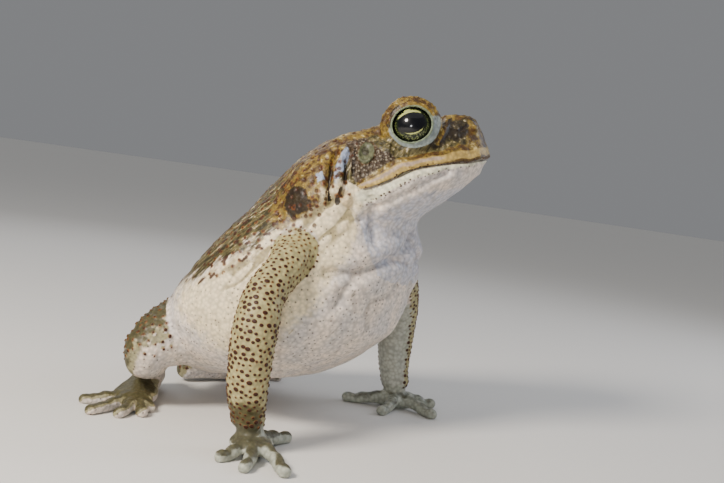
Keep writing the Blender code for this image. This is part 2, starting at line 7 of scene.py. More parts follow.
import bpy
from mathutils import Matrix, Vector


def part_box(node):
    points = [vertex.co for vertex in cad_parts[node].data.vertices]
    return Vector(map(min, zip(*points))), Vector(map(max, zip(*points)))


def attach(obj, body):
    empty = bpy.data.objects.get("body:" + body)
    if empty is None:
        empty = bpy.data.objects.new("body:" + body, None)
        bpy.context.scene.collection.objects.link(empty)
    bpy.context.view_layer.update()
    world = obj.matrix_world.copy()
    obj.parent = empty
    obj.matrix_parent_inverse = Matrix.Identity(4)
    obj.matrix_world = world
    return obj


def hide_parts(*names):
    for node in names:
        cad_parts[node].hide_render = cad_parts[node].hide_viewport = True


bl_info = {
    "name": "Cane toad finish",
    "version": (1, 0, 0),
    "blender": (4, 5, 0),
    "location": "View3D > Sidebar > Toad",
    "description": "Builds a toad's skin, warts and eyes over its packed solids",
    "category": "Object",
}

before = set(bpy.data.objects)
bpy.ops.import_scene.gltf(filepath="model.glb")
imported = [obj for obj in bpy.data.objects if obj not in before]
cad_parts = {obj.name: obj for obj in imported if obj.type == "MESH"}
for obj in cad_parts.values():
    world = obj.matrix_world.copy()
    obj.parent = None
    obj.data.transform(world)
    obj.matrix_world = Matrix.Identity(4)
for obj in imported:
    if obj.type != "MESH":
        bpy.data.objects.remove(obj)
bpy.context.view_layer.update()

import functools
import math

import bpy
import numpy as np
import openvdb as vdb
from bpy.props import FloatProperty, FloatVectorProperty, PointerProperty
from mathutils import Matrix

MM = 0.001

# ---- the solids' own sizes, mm ----
SNOUT = (29.4, 8.6, 83.2)      # tip of the snout, on the line of the mouth
HEAD_PITCH = 24.0              # the mouth line rises forwards, degrees
HEAD_YAW = 17.0                # the head turns to the toad's left, degrees

EYE_RADIUS = 6.2
EYE_BEHIND_SNOUT = 16.8
EYE_ABOVE_MOUTH = 12.0
EYE_OUT = 13.9                 # from the head's middle to the centre of the eyeball
EYE_APERTURE = (5.2, 4.6)      # half length and half height of the opening of the lids
LID_THICKNESS = 1.15

# torso stations, rump to nape: x, z, half width, rise to the back, drop to the belly, pitch
TORSO = (
    (-49.0, 10.0, 7.0, 5.0, 4.0, 62.0),
    (-45.8, 13.2, 16.5, 10.0, 9.0, 60.0),
    (-40.4, 18.2, 26.0, 14.2, 14.5, 58.0),
    (-32.8, 26.0, 33.5, 18.6, 23.5, 55.0),
    (-23.4, 35.2, 36.0, 20.8, 28.0, 54.0),
    (-13.4, 47.0, 32.5, 21.6, 29.5, 54.0),
    (-5.1, 58.2, 27.5, 21.8, 22.5, 50.0),
)
# head stations: mm behind the snout, half width, rise above and drop below the mouth line
HEAD = (
    (-1.2, 3.2, 5.8, 0.6),
    (-0.5, 5.6, 9.4, 1.2),
    (0.9, 7.7, 11.4, 2.6),
    (3.5, 10.4, 12.5, 4.8),
    (8.5, 14.4, 13.0, 7.2),
    (14.0, 17.6, 12.8, 9.2),
    (20.0, 20.0, 13.2, 11.0),
    (27.0, 21.8, 14.6, 13.0),
    (36.0, 22.4, 16.2, 15.2),
)
ROUND_TORSO = (0.92, 0.92)     # of the upper and lower half; below 1 is fuller than an ellipse
ROUND_HEAD = (0.72, 0.88)
CHEST = ((1.6, 0.8, 51.0), (13.8, 22.5, 15.0))     # middle and half sizes of the breast

# limb stations: x, y, z, half width, half height; the left limbs are given by themselves
ARM_RIGHT = (
    (-4.0, -15.0, 52.5, 6.2, 5.8),
    (-6.3, -24.0, 52.1, 5.6, 5.2),
    (-5.6, -33.0, 47.1, 4.8, 4.8),
    (-6.5, -40.0, 40.2, 5.1, 5.1),
    (-5.8, -44.0, 32.8, 5.7, 5.6),
    (-5.7, -45.0, 24.1, 5.6, 5.2),
    (-5.3, -44.2, 14.0, 5.1, 4.5),
    (-5.0, -43.2, 7.4, 4.0, 3.4),
)
ARM_LEFT = (
    (-3.0, 14.0, 48.5, 6.6, 6.2),
    (-1.0, 24.0, 46.5, 6.8, 6.2),
    (0.2, 31.0, 40.5, 6.4, 6.0),
    (-0.2, 36.5, 33.0, 6.0, 5.6),
    (-1.2, 40.0, 24.5, 5.6, 5.2),
    (-1.0, 41.6, 14.0, 4.8, 4.4),
    (0.0, 42.0, 7.4, 3.9, 3.4),
)
HAND_RIGHT = (-3.6, -42.6)
FINGERS_RIGHT = ((-2.0, -26.5), (12.0, -53.0), (3.6, -57.5), (-4.6, -55.0))
HAND_LEFT = (0.6, 42.2)
FINGERS_LEFT = ((-12.5, 34.0), (3.0, 27.0), (15.5, 38.0), (10.0, 52.0))
THIGH = (
    (-38.0, 6.0, 22.5, 10.5, 10.5),
    (-40.2, 14.0, 22.8, 10.5, 10.5),
    (-42.8, 21.0, 21.6, 9.6, 9.6),
    (-45.4, 27.5, 19.0, 7.8, 8.0),
    (-46.8, 31.0, 16.8, 6.0, 6.2),
)
SHANK = (
    (-47.2, 30.5, 13.6, 5.2, 5.0),
    (-49.2, 26.0, 12.8, 5.8, 5.4),
    (-52.2, 20.0, 11.8, 5.6, 5.4),
    (-55.3, 14.0, 9.8, 4.8, 4.6),
    (-57.0, 9.5, 8.4, 3.4, 3.2),
)
SOLE = (
    (-58.0, 8.5, 4.2, 3.2, 3.2),
    (-56.5, 14.0, 3.8, 4.2, 3.3),
    (-53.5, 21.0, 3.2, 5.0, 3.0),
    (-50.5, 28.0, 2.4, 6.2, 2.6),
    (-49.5, 31.5, 1.9, 4.0, 1.9),
)
TOE_ROOT = (-51.0, 27.0)
TOES = ((-42.0, 32.0), (-40.5, 38.0), (-43.5, 44.0), (-50.0, 47.5), (-58.5, 40.0))

MOUTH_CORNER = 32.0            # behind the snout
# the line where the lips meet: behind the snout, above the head's own level
MOUTH = ((-2.0, -1.25), (1.3, -1.2), (4.3, -1.0), (8.0, -0.3), (13.5, 0.35), (18.5, 0.75),
         (23.0, 0.0), (28.0, -0.75), (33.0, -0.7), (42.0, -0.7))
TYMPANUM = (29.7, 8.5)         # middle of the eardrum: behind the snout, above the mouth


# ---- curves and frames ----
outer = np.multiply.outer
greatest = np.maximum.reduce


def spline(rows, count):
    """Catmull-Rom through the rows of a table, read at count even steps."""
    rows = np.asarray(rows, float)
    padded = np.vstack([2 * rows[0] - rows[1], rows, 2 * rows[-1] - rows[-2]])
    t = np.linspace(0.0, len(rows) - 1.0, count)
    i = np.minimum(t.astype(int), len(rows) - 2)
    u = (t - i)[:, None]
    a, b, c, d = padded[i], padded[i + 1], padded[i + 2], padded[i + 3]
    return 0.5 * (2 * b + (c - a) * u + (2 * a - 5 * b + 4 * c - d) * u ** 2
                  + (3 * b - a - 3 * c + d) * u ** 3)


def round_angles(count):
    """Even steps once round a circle."""
    return np.linspace(0.0, 2 * np.pi, count, endpoint=False)


def unit(v):
    """A vector, or each row of an array, made 1 long."""
    v = np.asarray(v, float)
    return v / np.maximum(np.linalg.norm(v, axis=-1, keepdims=True), 1e-12)


def lengths(rows):
    """The length of each row."""
    return np.linalg.norm(rows, axis=1)


def ease(value, low, high):
    """0 below low, 1 above high, and a smooth cubic step between them."""
    t = np.clip((value - low) / (high - low), 0.0, 1.0)
    return t * t * (3.0 - 2.0 * t)


def directions(pitch, yaw):
    """Forward, left and up directions for a pitch and a yaw in degrees."""
    p, y = np.radians(pitch), np.radians(yaw)
    forward = np.stack([np.cos(p) * np.cos(y), np.cos(p) * np.sin(y), np.sin(p)], -1)
    left = np.stack([-np.sin(y), np.cos(y), 0 * y], -1)
    up = np.stack([-np.sin(p) * np.cos(y), -np.sin(p) * np.sin(y), np.cos(p)], -1)
    return forward, left, up


HEAD_FORWARD, HEAD_LEFT, HEAD_UP = directions(np.array(HEAD_PITCH), np.array(HEAD_YAW))


def head_point(behind, out, above):
    """A place on the head: mm behind the snout, to the left, and above the mouth's level."""
    return (np.asarray(SNOUT) - outer(behind, HEAD_FORWARD) + outer(out, HEAD_LEFT)
            + outer(above, HEAD_UP))


def head_place(points):
    """The mm behind the snout, to the left and above the mouth's level of each point."""
    away = points - np.asarray(SNOUT)
    return -away @ HEAD_FORWARD, away @ HEAD_LEFT, away @ HEAD_UP


def mouth_height(behind):
    """The mouth line is low at the snout, bows up below the eye and drops to the corner."""
    line = spline(MOUTH, 60)
    return np.interp(behind, line[:, 0], line[:, 1])


def side_of_head(behind, above, side, lift=0.0):
    """The plain head's side at a place; side is 1 left, -1 right."""
    table = np.asarray(HEAD)
    wide = np.interp(behind, table[:, 0], table[:, 1])
    tall = np.interp(behind, table[:, 0], table[:, 2 if above >= 0 else 3])
    power = ROUND_HEAD[0 if above >= 0 else 1]
    share = min(abs(above) / tall, 0.999) ** (1 / power)
    out = wide * math.sqrt(1 - share ** 2) ** power
    return head_point(behind, side * (out + lift), above)


def eye_frame(side):
    """Centre of an eyeball and its outward, forward and up directions."""
    centre = head_point(EYE_BEHIND_SNOUT, side * EYE_OUT, EYE_ABOVE_MOUTH)
    out = unit(HEAD_LEFT * side + 0.14 * HEAD_FORWARD + 0.08 * HEAD_UP)
    up = unit(HEAD_UP - out * HEAD_UP.dot(out))
    along = np.cross(up, out) * side * -1.0
    return centre, out, along, up


def trunk_rows(count):
    """Stations from the rump to the snout: centre, half width, rise, drop, pitch, yaw, roundness."""
    rows = [(x, 0.0, z, w, up, down, pitch, 0.0, *ROUND_TORSO)
            for x, z, w, up, down, pitch in TORSO]
    rows += [(*head_point(behind, 0.0, 0.0), wide, rise, drop, HEAD_PITCH, HEAD_YAW, *ROUND_HEAD)
             for behind, wide, rise, drop in HEAD[::-1]]
    return spline(rows, count)


NAPE = len(TORSO) / (len(TORSO) + len(HEAD) - 1.0)    # the trunk's share where the head begins


def trunk_point(along, around, lift=0.0):
    """A place on the torso, along from rump 0 to nape 1 and around in degrees up from the left,
    with its outward and forward directions."""
    row = trunk_rows(401)[int(round(along * NAPE * 400))]
    forward, left, up = directions(row[6], row[7])
    a = math.radians(around)
    point = row[:3] + left * row[3] * math.cos(a) + up * row[4] * math.sin(a)
    normal = unit(left * math.cos(a) / row[3] + up * math.sin(a) / row[4])
    return point + normal * lift, normal, forward


CHUNK = 20000             # points looked at together, to spare memory


def trunk_place(points, count=140):
    """For each point the share along the trunk (nape 1), the angle up from its left in degrees,
    and how far out it lies, 1 on the plain surface. The station is the one whose cross section
    holds the point, found where the distance ahead of the section is least."""
    rows = trunk_rows(count)
    forward, left, up = directions(rows[:, 6], rows[:, 7])
    level = np.sum(rows[:, :3] * forward, 1)
    found = []
    for start in range(0, len(points), CHUNK):
        part = points[start:start + CHUNK]
        ahead = part @ forward.T - level
        far = np.linalg.norm(part[:, None, :] - rows[None, :, :3], axis=2)
        found.append(np.argmin(np.abs(ahead) + 0.25 * far, axis=1))
    station = np.concatenate(found)
    row = rows[station]
    away = points - row[:, :3]
    across = np.sum(away * left[station], 1) / row[:, 3]
    high = np.sum(away * up[station], 1)
    high = high / np.where(high > 0, row[:, 4], row[:, 5])
    turn = np.degrees(np.arctan2(high, across))
    return station / (count - 1.0) / NAPE, turn, np.hypot(across, high)


def limb_place(points, table, mirror=1.0):
    """For each point the share along a limb and how far out it lies, 1 on its plain surface:
    the nearest of the limb's closely read stations decides."""
    rows = spline(table, 40)
    rows[:, 1] *= mirror
    share, out = np.empty(len(points)), np.empty(len(points))
    for start in range(0, len(points), CHUNK):
        part = points[start:start + CHUNK]
        away = np.linalg.norm(part[:, None, :] - rows[None, :, :3], axis=2)
        nearest = np.argmin(away - rows[:, 3], axis=1)
        share[start:start + CHUNK] = nearest / (len(rows) - 1.0)
        out[start:start + CHUNK] = away[np.arange(len(part)), nearest] / rows[nearest, 3]
    return share, out


def line_gap(points, line):
    """Distance of each point to the nearest straight bit of a line through points."""
    best = np.full(len(points), 1e9)
    for a, b in zip(line[:-1], line[1:]):
        way = b - a
        t = np.clip((points - a) @ way / max(way @ way, 1e-9), 0.0, 1.0)
        best = np.minimum(best, lengths(points - a - t[:, None] * way))
    return best


# ---- surfaces on a grid of two parameters ----
def trunk_surface(count, around):
    """Rings of the trunk: at each station a super-ellipse, the half width times cos a and the
    rise or drop times sin a, each to the power of its roundness, square to the station's way."""
    s = trunk_rows(count)
    _, left, up = directions(s[:, 6], s[:, 7])
    a = round_angles(around)
    power = np.where(np.sin(a) >= 0, s[:, 8:9], s[:, 9:10])
    side = np.sign(np.cos(a)) * np.abs(np.cos(a)) ** power
    high = np.sign(np.sin(a)) * np.abs(np.sin(a)) ** power
    tall = np.where(np.sin(a) >= 0, s[:, 4:5], s[:, 5:6])
    return (s[:, None, :3] + (side * s[:, 3:4])[..., None] * left[:, None]
            + (high * tall)[..., None] * up[:, None])


def limb_surface(table, count, around, reference, mirror=1.0, round_ends=True):
    """Rings of a limb: at each place along its middle line an ellipse of its half width and half
    height, square to the line. Round ends add rings that shrink as the cosine of an angle while
    they move on by its sine."""
    s = spline(table, count)
    s[:, 1] *= mirror
    if round_ends:
        ends = []
        for end, inner in ((s[0], s[1]), (s[-1], s[-2])):
            way = unit(end[:3] - inner[:3])
            ends.append([np.hstack([end[:3] + way * math.sin(b) * 0.9 * end[3:].mean(),
                                    end[3:] * math.cos(b)])
                         for b in np.linspace(0.0, 1.45, 9)[1:]])
        s = np.vstack([ends[0][::-1], s, ends[1]])
    forward = unit(np.gradient(s[:, :3], axis=0))
    side = unit(np.cross(np.asarray(reference, float), forward))
    up = np.cross(forward, side)
    a = round_angles(around)
    return (s[:, None, :3] + (s[:, 3:4] * np.cos(a))[..., None] * side[:, None]
            + (s[:, 4:5] * np.sin(a))[..., None] * up[:, None])


def closed_mesh(rings):
    """Points, quads and end triangles of a closed skin through rings of equal counts."""
    rows, around = rings.shape[:2]
    points = np.vstack([rings.reshape(-1, 3), rings[0].mean(0), rings[-1].mean(0)])
    j = np.arange(around)
    k = (j + 1) % around
    start = (np.arange(rows - 1) * around)[:, None]
    quads = np.stack([start + j, start + k, start + around + k, start + around + j], -1)
    end = (rows - 1) * around
    first = np.stack([k, j, np.full(around, rows * around)], 1)
    last = np.stack([end + j, end + k, np.full(around, rows * around + 1)], 1)
    return points, quads.reshape(-1, 4), np.vstack([first, last])


def all_triangles(quads, triangles):
    """The triangles, and each quad cut in two along a diagonal."""
    return np.vstack([triangles, quads[:, [0, 1, 2]], quads[:, [0, 2, 3]]])


# ---- the body as distances on a lattice ----
class Clay:
    """Distances to the body's surface at the points of a cubic lattice, in mm and negative
    inside. Each part is pressed on with a soft seam, or cut out with a soft edge: ball and cord
    give the two things that press and cut take first, a window and the distances in it."""

    FAR = 8.0             # the most that the lattice holds, mm

    def __init__(self, low, high, step):
        self.step = step
        self.low = np.floor(np.asarray(low) / step).astype(int)
        shape = np.ceil(np.asarray(high) / step).astype(int) - self.low + 1
        self.field = np.full(shape, self.FAR, np.float32)

    def window(self, low, high):
        """The lattice points of a box: where they lie in the field, and their x, y and z."""
        size = np.array(self.field.shape)
        first = np.clip(np.floor(np.asarray(low) / self.step).astype(int) - self.low, 0, size)
        last = np.clip(np.ceil(np.asarray(high) / self.step).astype(int) - self.low + 1, 0, size)
        where = tuple(slice(a, b) for a, b in zip(first, last))
        axes = [((np.arange(a, b) + start) * self.step).astype(np.float32)
                for a, b, start in zip(first, last, self.low)]
        return where, (axes[0][:, None, None], axes[1][None, :, None], axes[2][None, None, :])

    def press(self, where, distance, seam):
        """Join: the lesser distance, less a rounding that reaches as far as the seam is wide."""
        old = self.field[where]
        close = np.clip(1.0 - np.abs(old - distance) / seam, 0.0, 1.0)
        self.field[where] = np.minimum(old, distance) - close * close * (seam / 4)

    def cut(self, where, distance, edge):
        """Cut out: the greater of the body's distance and the cutter's turned inside out."""
        old = self.field[where]
        close = np.clip(1.0 - np.abs(old + distance) / edge, 0.0, 1.0)
        self.field[where] = np.maximum(old, -distance) + close * close * (edge / 4)

    def add_rings(self, rings, seam, near=0.0):
        """Press on a closed skin through rings."""
        points, quads, triangles = closed_mesh(rings)
        reach = max(seam, near) + 2 * self.step
        transform = vdb.createLinearTransform(voxelSize=self.step)
        grid = vdb.FloatGrid.createLevelSetFromPolygons(
            points.astype(np.float32), triangles.astype(np.uint32), quads.astype(np.uint32),
            transform, reach / self.step)
        where, _ = self.window(points.min(0) - reach, points.max(0) + reach)
        block = np.empty(self.field[where].shape, np.float32)
        corner = [int(w.start + start) for w, start in zip(where, self.low)]
        grid.copyToArray(block, ijk=tuple(corner))
        block[block >= reach * 0.999] = self.FAR
        self.press(where, block, seam)

    def ball(self, centre, radii, axes):
        """Distance to an ellipsoid: how far out in radii, less 1, over how fast that grows."""
        centre, radii, axes = (np.asarray(v, float) for v in (centre, radii, axes))
        reach = np.max(radii) + 4.0
        where, (x, y, z) = self.window(centre - reach, centre + reach)
        out = 0.0
        steep = 0.0
        for radius, axis in zip(radii, axes):
            q = ((x - centre[0]) * axis[0] + (y - centre[1]) * axis[1]
                 + (z - centre[2]) * axis[2]) / radius
            out = out + q * q
            steep = steep + (q / radius) ** 2
        out = np.sqrt(out)
        return where, out * (out - 1.0) / np.maximum(np.sqrt(steep), 1e-6)

    def cord(self, points, radii):
        """Distance to a round rope along points: to its nearest straight bit, less its radius."""
        points, radii = np.asarray(points, float), np.asarray(radii, float)
        reach = radii.max() + 3.0
        where, (x, y, z) = self.window(points.min(0) - reach, points.max(0) + reach)
        best = self.FAR
        for a, b, ra, rb in zip(points[:-1], points[1:], radii[:-1], radii[1:]):
            way = b - a
            length = max(way @ way, 1e-9)
            t = ((x - a[0]) * way[0] + (y - a[1]) * way[1] + (z - a[2]) * way[2]) / length
            t = np.clip(t, 0.0, 1.0)
            gap = ((x - a[0] - t * way[0]) ** 2 + (y - a[1] - t * way[1]) ** 2
                   + (z - a[2] - t * way[2]) ** 2)
            best = np.minimum(best, np.sqrt(gap) - (ra + (rb - ra) * t))
        return where, best

    def surface(self):
        """Points and triangles of the surface where the distance is nought."""
        thick = 3 * self.step
        grid = vdb.FloatGrid(thick)
        grid.transform = vdb.createLinearTransform(voxelSize=self.step)
        grid.copyFromArray(np.clip(self.field, -thick, thick), ijk=tuple(int(i) for i in self.low))
        points, triangles, quads = grid.convertToPolygons(isovalue=0.0, adaptivity=0.0)
        triangles = all_triangles(quads, triangles.reshape(-1, 3))
        return points.astype(float), triangles.astype(np.int64)


DIGIT_SINK = 0.3          # a digit's underside is pressed flat this deep
FINGER = (2.1, 1.45)      # radius at the root and near the tip
TOE = (2.0, 1.35)
FINGER_KNUCKLES = ((0.38, 0.12), (0.68, 0.14), (0.97, 0.16))     # share along, swelling
TOE_KNUCKLES = ((0.35, 0.12), (0.62, 0.14), (0.82, 0.12), (0.98, 0.14))
WEB_REACH = 0.55          # how far along the toes the webbing runs
WEB_THICK = 0.9
PAROTOID_ENDS = ((0.862, 14.0), (0.985, 46.0))     # rear and front: along, around from the side
PAROTOID = (7.8, 4.6)     # half width, half height
LEG_UP = (0.0, 0.0, 1.0)
ARM_ACROSS = (0.0, 1.0, 0.0)
WRIST = (3.6, 3.2)        # radius above and in the palm
PALM = (5.6, 5.2, 2.7)    # half sizes
SHOULDER_SEAM = 2.2
LEG_SEAMS = ((THIGH, 1.8), (SHANK, 1.8), (SOLE, 1.6))


def press_digit(clay, root, tip, thick, thin, knuckles, lift):
    """A finger or toe from root to tip along the floor: a rope that thins to its tip, swells at
    each knuckle and arches up by lift between root and tip."""
    share = np.linspace(0.0, 1.0, 25)
    radius = thick + (thin - thick) * share
    for at, swell in knuckles:
        radius = radius * (1.0 + swell * np.exp(-((share - at) / 0.07) ** 2))
    root, tip = np.asarray(root, float), np.asarray(tip, float)
    flat = root + share[:, None] * (tip - root)
    bend = 0.06 * np.linalg.norm(tip - root) * np.sin(np.pi * share)
    across = unit(np.array([-(tip - root)[1], (tip - root)[0]]))
    flat = flat + bend[:, None] * across
    height = radius - DIGIT_SINK + lift * np.sin(np.pi * np.clip(share * 1.25, 0, 1))
    clay.press(*clay.cord(np.column_stack([flat, height]), radius), 1.2)


def gland_ends(side):
    """Rear and front end of a shoulder's gland: place, outward and forward directions of each."""
    return [trunk_point(along, around if side > 0 else 180.0 - around, -1.5)
            for along, around in PAROTOID_ENDS]


def press_glands(clay):
    """The long venom gland on each shoulder, from behind the eardrum back and down."""
    for side in (1, -1):
        rear, front = gland_ends(side)
        along = unit(front[0] - rear[0])
        normal = unit(rear[1] + front[1])
        normal = unit(normal - along * normal.dot(along))
        length = np.linalg.norm(front[0] - rear[0]) / 2 + 1.8
        clay.press(*clay.ball((rear[0] + front[0]) / 2, (length, *PAROTOID),
                              (along, np.cross(normal, along), normal)), 2.4)


def press_arm(clay, table, palm, tips):
    """An arm from the shoulder to the wrist, its palm and its fingers."""
    clay.add_rings(limb_surface(table, 60, 40, ARM_ACROSS, 1.0, False), SHOULDER_SEAM)
    px, py = palm
    wrist = np.asarray(table[-1][:3], float)
    clay.press(*clay.cord([wrist + (0, 0, 1.5), (px, py, 3.0)], WRIST), 1.5)
    clay.press(*clay.ball((px, py, 2.3), PALM, np.eye(3)), 2.0)
    for tip in tips:
        press_digit(clay, palm, tip, *FINGER, FINGER_KNUCKLES, 0.9)


def press_leg(clay, side):
    """A folded hind leg, its toes and the webs between them."""
    for table, seam in LEG_SEAMS:
        clay.add_rings(limb_surface(table, 60, 40, LEG_UP, side), seam)
    root = np.array([TOE_ROOT[0], TOE_ROOT[1] * side])
    tips = [np.array([x, y * side]) for x, y in TOES]
    for tip in tips:
        press_digit(clay, root, tip, *TOE, TOE_KNUCKLES, 0.5)
    for first, second in zip(tips[:-1], tips[1:]):
        a, b = root + WEB_REACH * (first - root), root + WEB_REACH * (second - root)
        middle = root + 0.72 * ((a + b) / 2 - root)
        low, high = 0.4, 0.4 + WEB_THICK
        outline = np.array([root, a, middle, b])
        rings = np.array([[(*p, low) for p in outline], [(*p, high) for p in outline]])
        clay.add_rings(rings, 0.8)


def arc_on_eye(side, wide, high, start, stop, reach, count=28):
    """Points of an arc round the eye's opening: an ellipse of half sizes wide and high, laid on
    a ball of radius reach round the eye's centre, from start to stop degrees up from the front."""
    centre, out, along, up = eye_frame(side)
    a = np.radians(np.linspace(start, stop, count))
    across, over = wide * np.cos(a), high * np.sin(a)
    depth = np.sqrt(np.maximum(reach ** 2 - across ** 2 - over ** 2, 0.0))
    return centre + outer(across, along) + outer(over, up) + outer(depth, out)


# folds round the eye's opening: half length, half height, start and stop degrees, the radius of
# the ball that they lie on, their own radius, and their seam
LID_FOLDS = (
    (6.25, 5.7, 2.0, 182.0, 7.2, 0.55, 0.3),
    (6.95, 6.5, 12.0, 172.0, 7.15, 0.5, 0.35),
    (6.5, 6.05, 182.0, 358.0, 6.75, 1.15, 0.5),
    (7.9, 7.7, 196.0, 345.0, 6.6, 0.75, 0.8),
)
# ridges of the skull: radius, lift, seam, and spots as mm behind the snout and above the mouth
EYE_RIDGE = ((7.3, 12.0), (7.6, 10.6), (8.5, 9.2), (9.7, 7.7), (10.9, 6.3))     # before the eye
RIDGES = (
    (0.95, -0.3, 1.0, ((0.2, 8.9), (1.4, 9.8), (2.6, 10.6), (4.9, 11.8), (7.5, 12.4), (10.8, 12.8))),
    (0.95, 0.15, 0.4, EYE_RIDGE),
    (0.9, -0.55, 1.5, ((22.6, 10.6), (23.8, 8.4), (24.4, 6.0))),
)
# the ridge from the eye back to the nape: behind the snout, out, above the mouth
TEMPLE = ((20.0, 11.6, 13.4), (22.5, 11.5, 13.3), (26.0, 11.7, 12.6), (30.0, 12.2, 12.3),
          (34.0, 12.8, 12.3), (37.5, 12.8, 12.0))
TEMPLE_RADIUS = 2.6
LID_ROLL = 1.25           # radius of the upper lid's thick edge
# the lips' folds: radius and middle above the mouth line, each at the snout and at the corner,
# sink as a share of the radius, how far behind the snout the fold's front lies, and its seam
LIPS = (
    ((1.35, 1.1), (3.0, 2.1), 0.55, -0.3, 1.1),
    ((1.2, 0.9), (1.0, 0.75), 0.5, -0.3, 0.9),
    ((0.65, 1.35), (-0.75, -1.75), 0.55, 1.5, 0.6),
    ((0.8, 1.1), (-2.3, -4.6), 0.85, 2.9, 1.4),
)
MOUTH_GAP = ((0.36, 0.36), (-0.1, -0.1), -0.35, -0.6, 0.3)      # the groove between the lips


def press_head(clay):
    """Lids, ridges of the skull, eardrum, nostrils and lips on both sides of the head."""
    for side in (1, -1):
        centre, out, along, up = eye_frame(side)
        lid = EYE_RADIUS + LID_THICKNESS
        clay.press(*clay.ball(centre - along * 0.1, (lid * 1.02, lid * 0.97, lid * 0.98),
                              (along, out, up)), 1.2)
        # the thick arched edge of the upper lid
        brow = lid - 0.35
        a = np.radians(np.linspace(-10.0, 178.0, 24))
        points = centre + outer(brow * np.cos(a), along) + outer(brow * np.sin(a), up) + out * 1.4
        clay.press(*clay.cord(points, np.full(24, LID_ROLL)), 0.8)
        for wide, high, start, stop, reach, radius, seam in LID_FOLDS:
            clay.press(*clay.cord(arc_on_eye(side, wide, high, start, stop, reach),
                                  np.full(28, radius)), seam)
        temple = spline([head_point(b, side * o, h) for b, o, h in TEMPLE], 16)
        clay.press(*clay.cord(temple, np.full(16, TEMPLE_RADIUS)), 2.2)
        for radius, lift, seam, spots in RIDGES:
            points = spline([side_of_head(b, h, side, lift) for b, h in spots], 16)
            taper = 1.0 - 0.45 * np.abs(np.linspace(-1, 1, 16)) ** 3
            clay.press(*clay.cord(points, radius * taper), seam)
        press_ear(clay, side)
        press_nostril(clay, side)
    for *fold, seam in LIPS:
        clay.press(*clay.cord(*lip_line(*fold)), seam)
    *gap, seam = MOUTH_GAP
    clay.cut(*clay.cord(*lip_line(*gap)), seam)


EAR = (2.25, 2.95)        # half sizes of the eardrum
EAR_BOSS = (0.9, 1.3, 0.45)
EAR_RIM = 0.36


def press_ear(clay, side):
    """The eardrum: a thin rim round a shallow dish, with a low boss in the dish's middle."""
    ear, out, (short, long) = ear_frame(side)
    dish = (EAR[0] - 0.15, EAR[1] - 0.2, 1.35)
    clay.cut(*clay.ball(ear + out * 0.9, dish, (short, long, out)), 0.5)
    clay.press(*clay.ball(ear - out * 0.55, EAR_BOSS, (short, long, out)), 0.5)
    a = np.radians(np.linspace(0, 360, 33))
    points = ear + outer(EAR[0] * np.cos(a), short) + outer(EAR[1] * np.sin(a), long) - out * 0.1
    clay.press(*clay.cord(points, np.full(33, EAR_RIM)), 0.4)


NOSTRIL_SLIT = ((5.0, 7.9), (3.8, 8.3), (2.4, 8.8))
NOSTRIL_FOLD = ((5.9, 6.7), (4.4, 7.2), (3.1, 7.4))


def press_nostril(clay, side):
    """The nostril: a slanted slit with a fold under it and a low mound in front."""
    mound = side_of_head(1.7, 7.5, side, -0.9)
    clay.press(*clay.ball(mound, (1.9, 1.7, 1.7), (HEAD_FORWARD, HEAD_LEFT, HEAD_UP)), 0.8)
    slit = spline([side_of_head(b, h, side, 0.35) for b, h in NOSTRIL_SLIT], 9)
    clay.cut(*clay.cord(slit, 0.62 * np.sin(np.linspace(0.5, 2.64, 9))), 0.4)
    fold = spline([side_of_head(b, h, side, -0.05) for b, h in NOSTRIL_FOLD], 9)
    clay.press(*clay.cord(fold, np.full(9, 0.5)), 0.4)


def lip_line(radii, shifts, sink, back):
    """Points and radii of a rope along the mouth from corner to corner round the snout. Its
    radius and its middle's height over the mouth line run evenly from the snout's value to the
    corner's, it is sunk a share of its radius into the skin, and its front lies back mm behind
    the snout."""
    share = np.array([1.03, 0.93, 0.8, 0.67, 0.54, 0.42, 0.3, 0.19, 0.1, 0.035])
    rows = {-1: [], 1: []}
    for part in share:
        behind, radius, shift = (MOUTH_CORNER * part, radii[0] + (radii[1] - radii[0]) * part,
                                 shifts[0] + (shifts[1] - shifts[0]) * part)
        pull = (back + 0.9) * math.exp(-behind / 5.0)
        for side, row in rows.items():
            spot = side_of_head(behind, mouth_height(behind) + shift, side, -sink * radius)
            row.append(spot - pull * HEAD_FORWARD)
    front = [head_point(back + sink * radii[0] * 0.5, 0.0, mouth_height(0.0) + shifts[0])]
    points = spline(rows[-1] + front + rows[1][::-1], 100)
    off = np.abs(np.linspace(-1.0, 1.0, 100))
    return points, (radii[0] + (radii[1] - radii[0]) * off) * (1.0 - 0.5 * off ** 8)


def ear_frame(side):
    """Middle of the eardrum, its outward direction, and its short and long axes."""
    middle = side_of_head(*TYMPANUM, side, -0.1)
    ahead = side_of_head(TYMPANUM[0] - 2.0, TYMPANUM[1], side, -0.1)
    over = side_of_head(TYMPANUM[0], TYMPANUM[1] + 2.0, side, -0.1)
    out = unit(np.cross(over - middle, ahead - middle)) * side
    long = unit(unit(over - middle) + 0.2 * unit(ahead - middle))
    long = unit(long - out * long.dot(out))
    return middle, out, (np.cross(long, out), long)


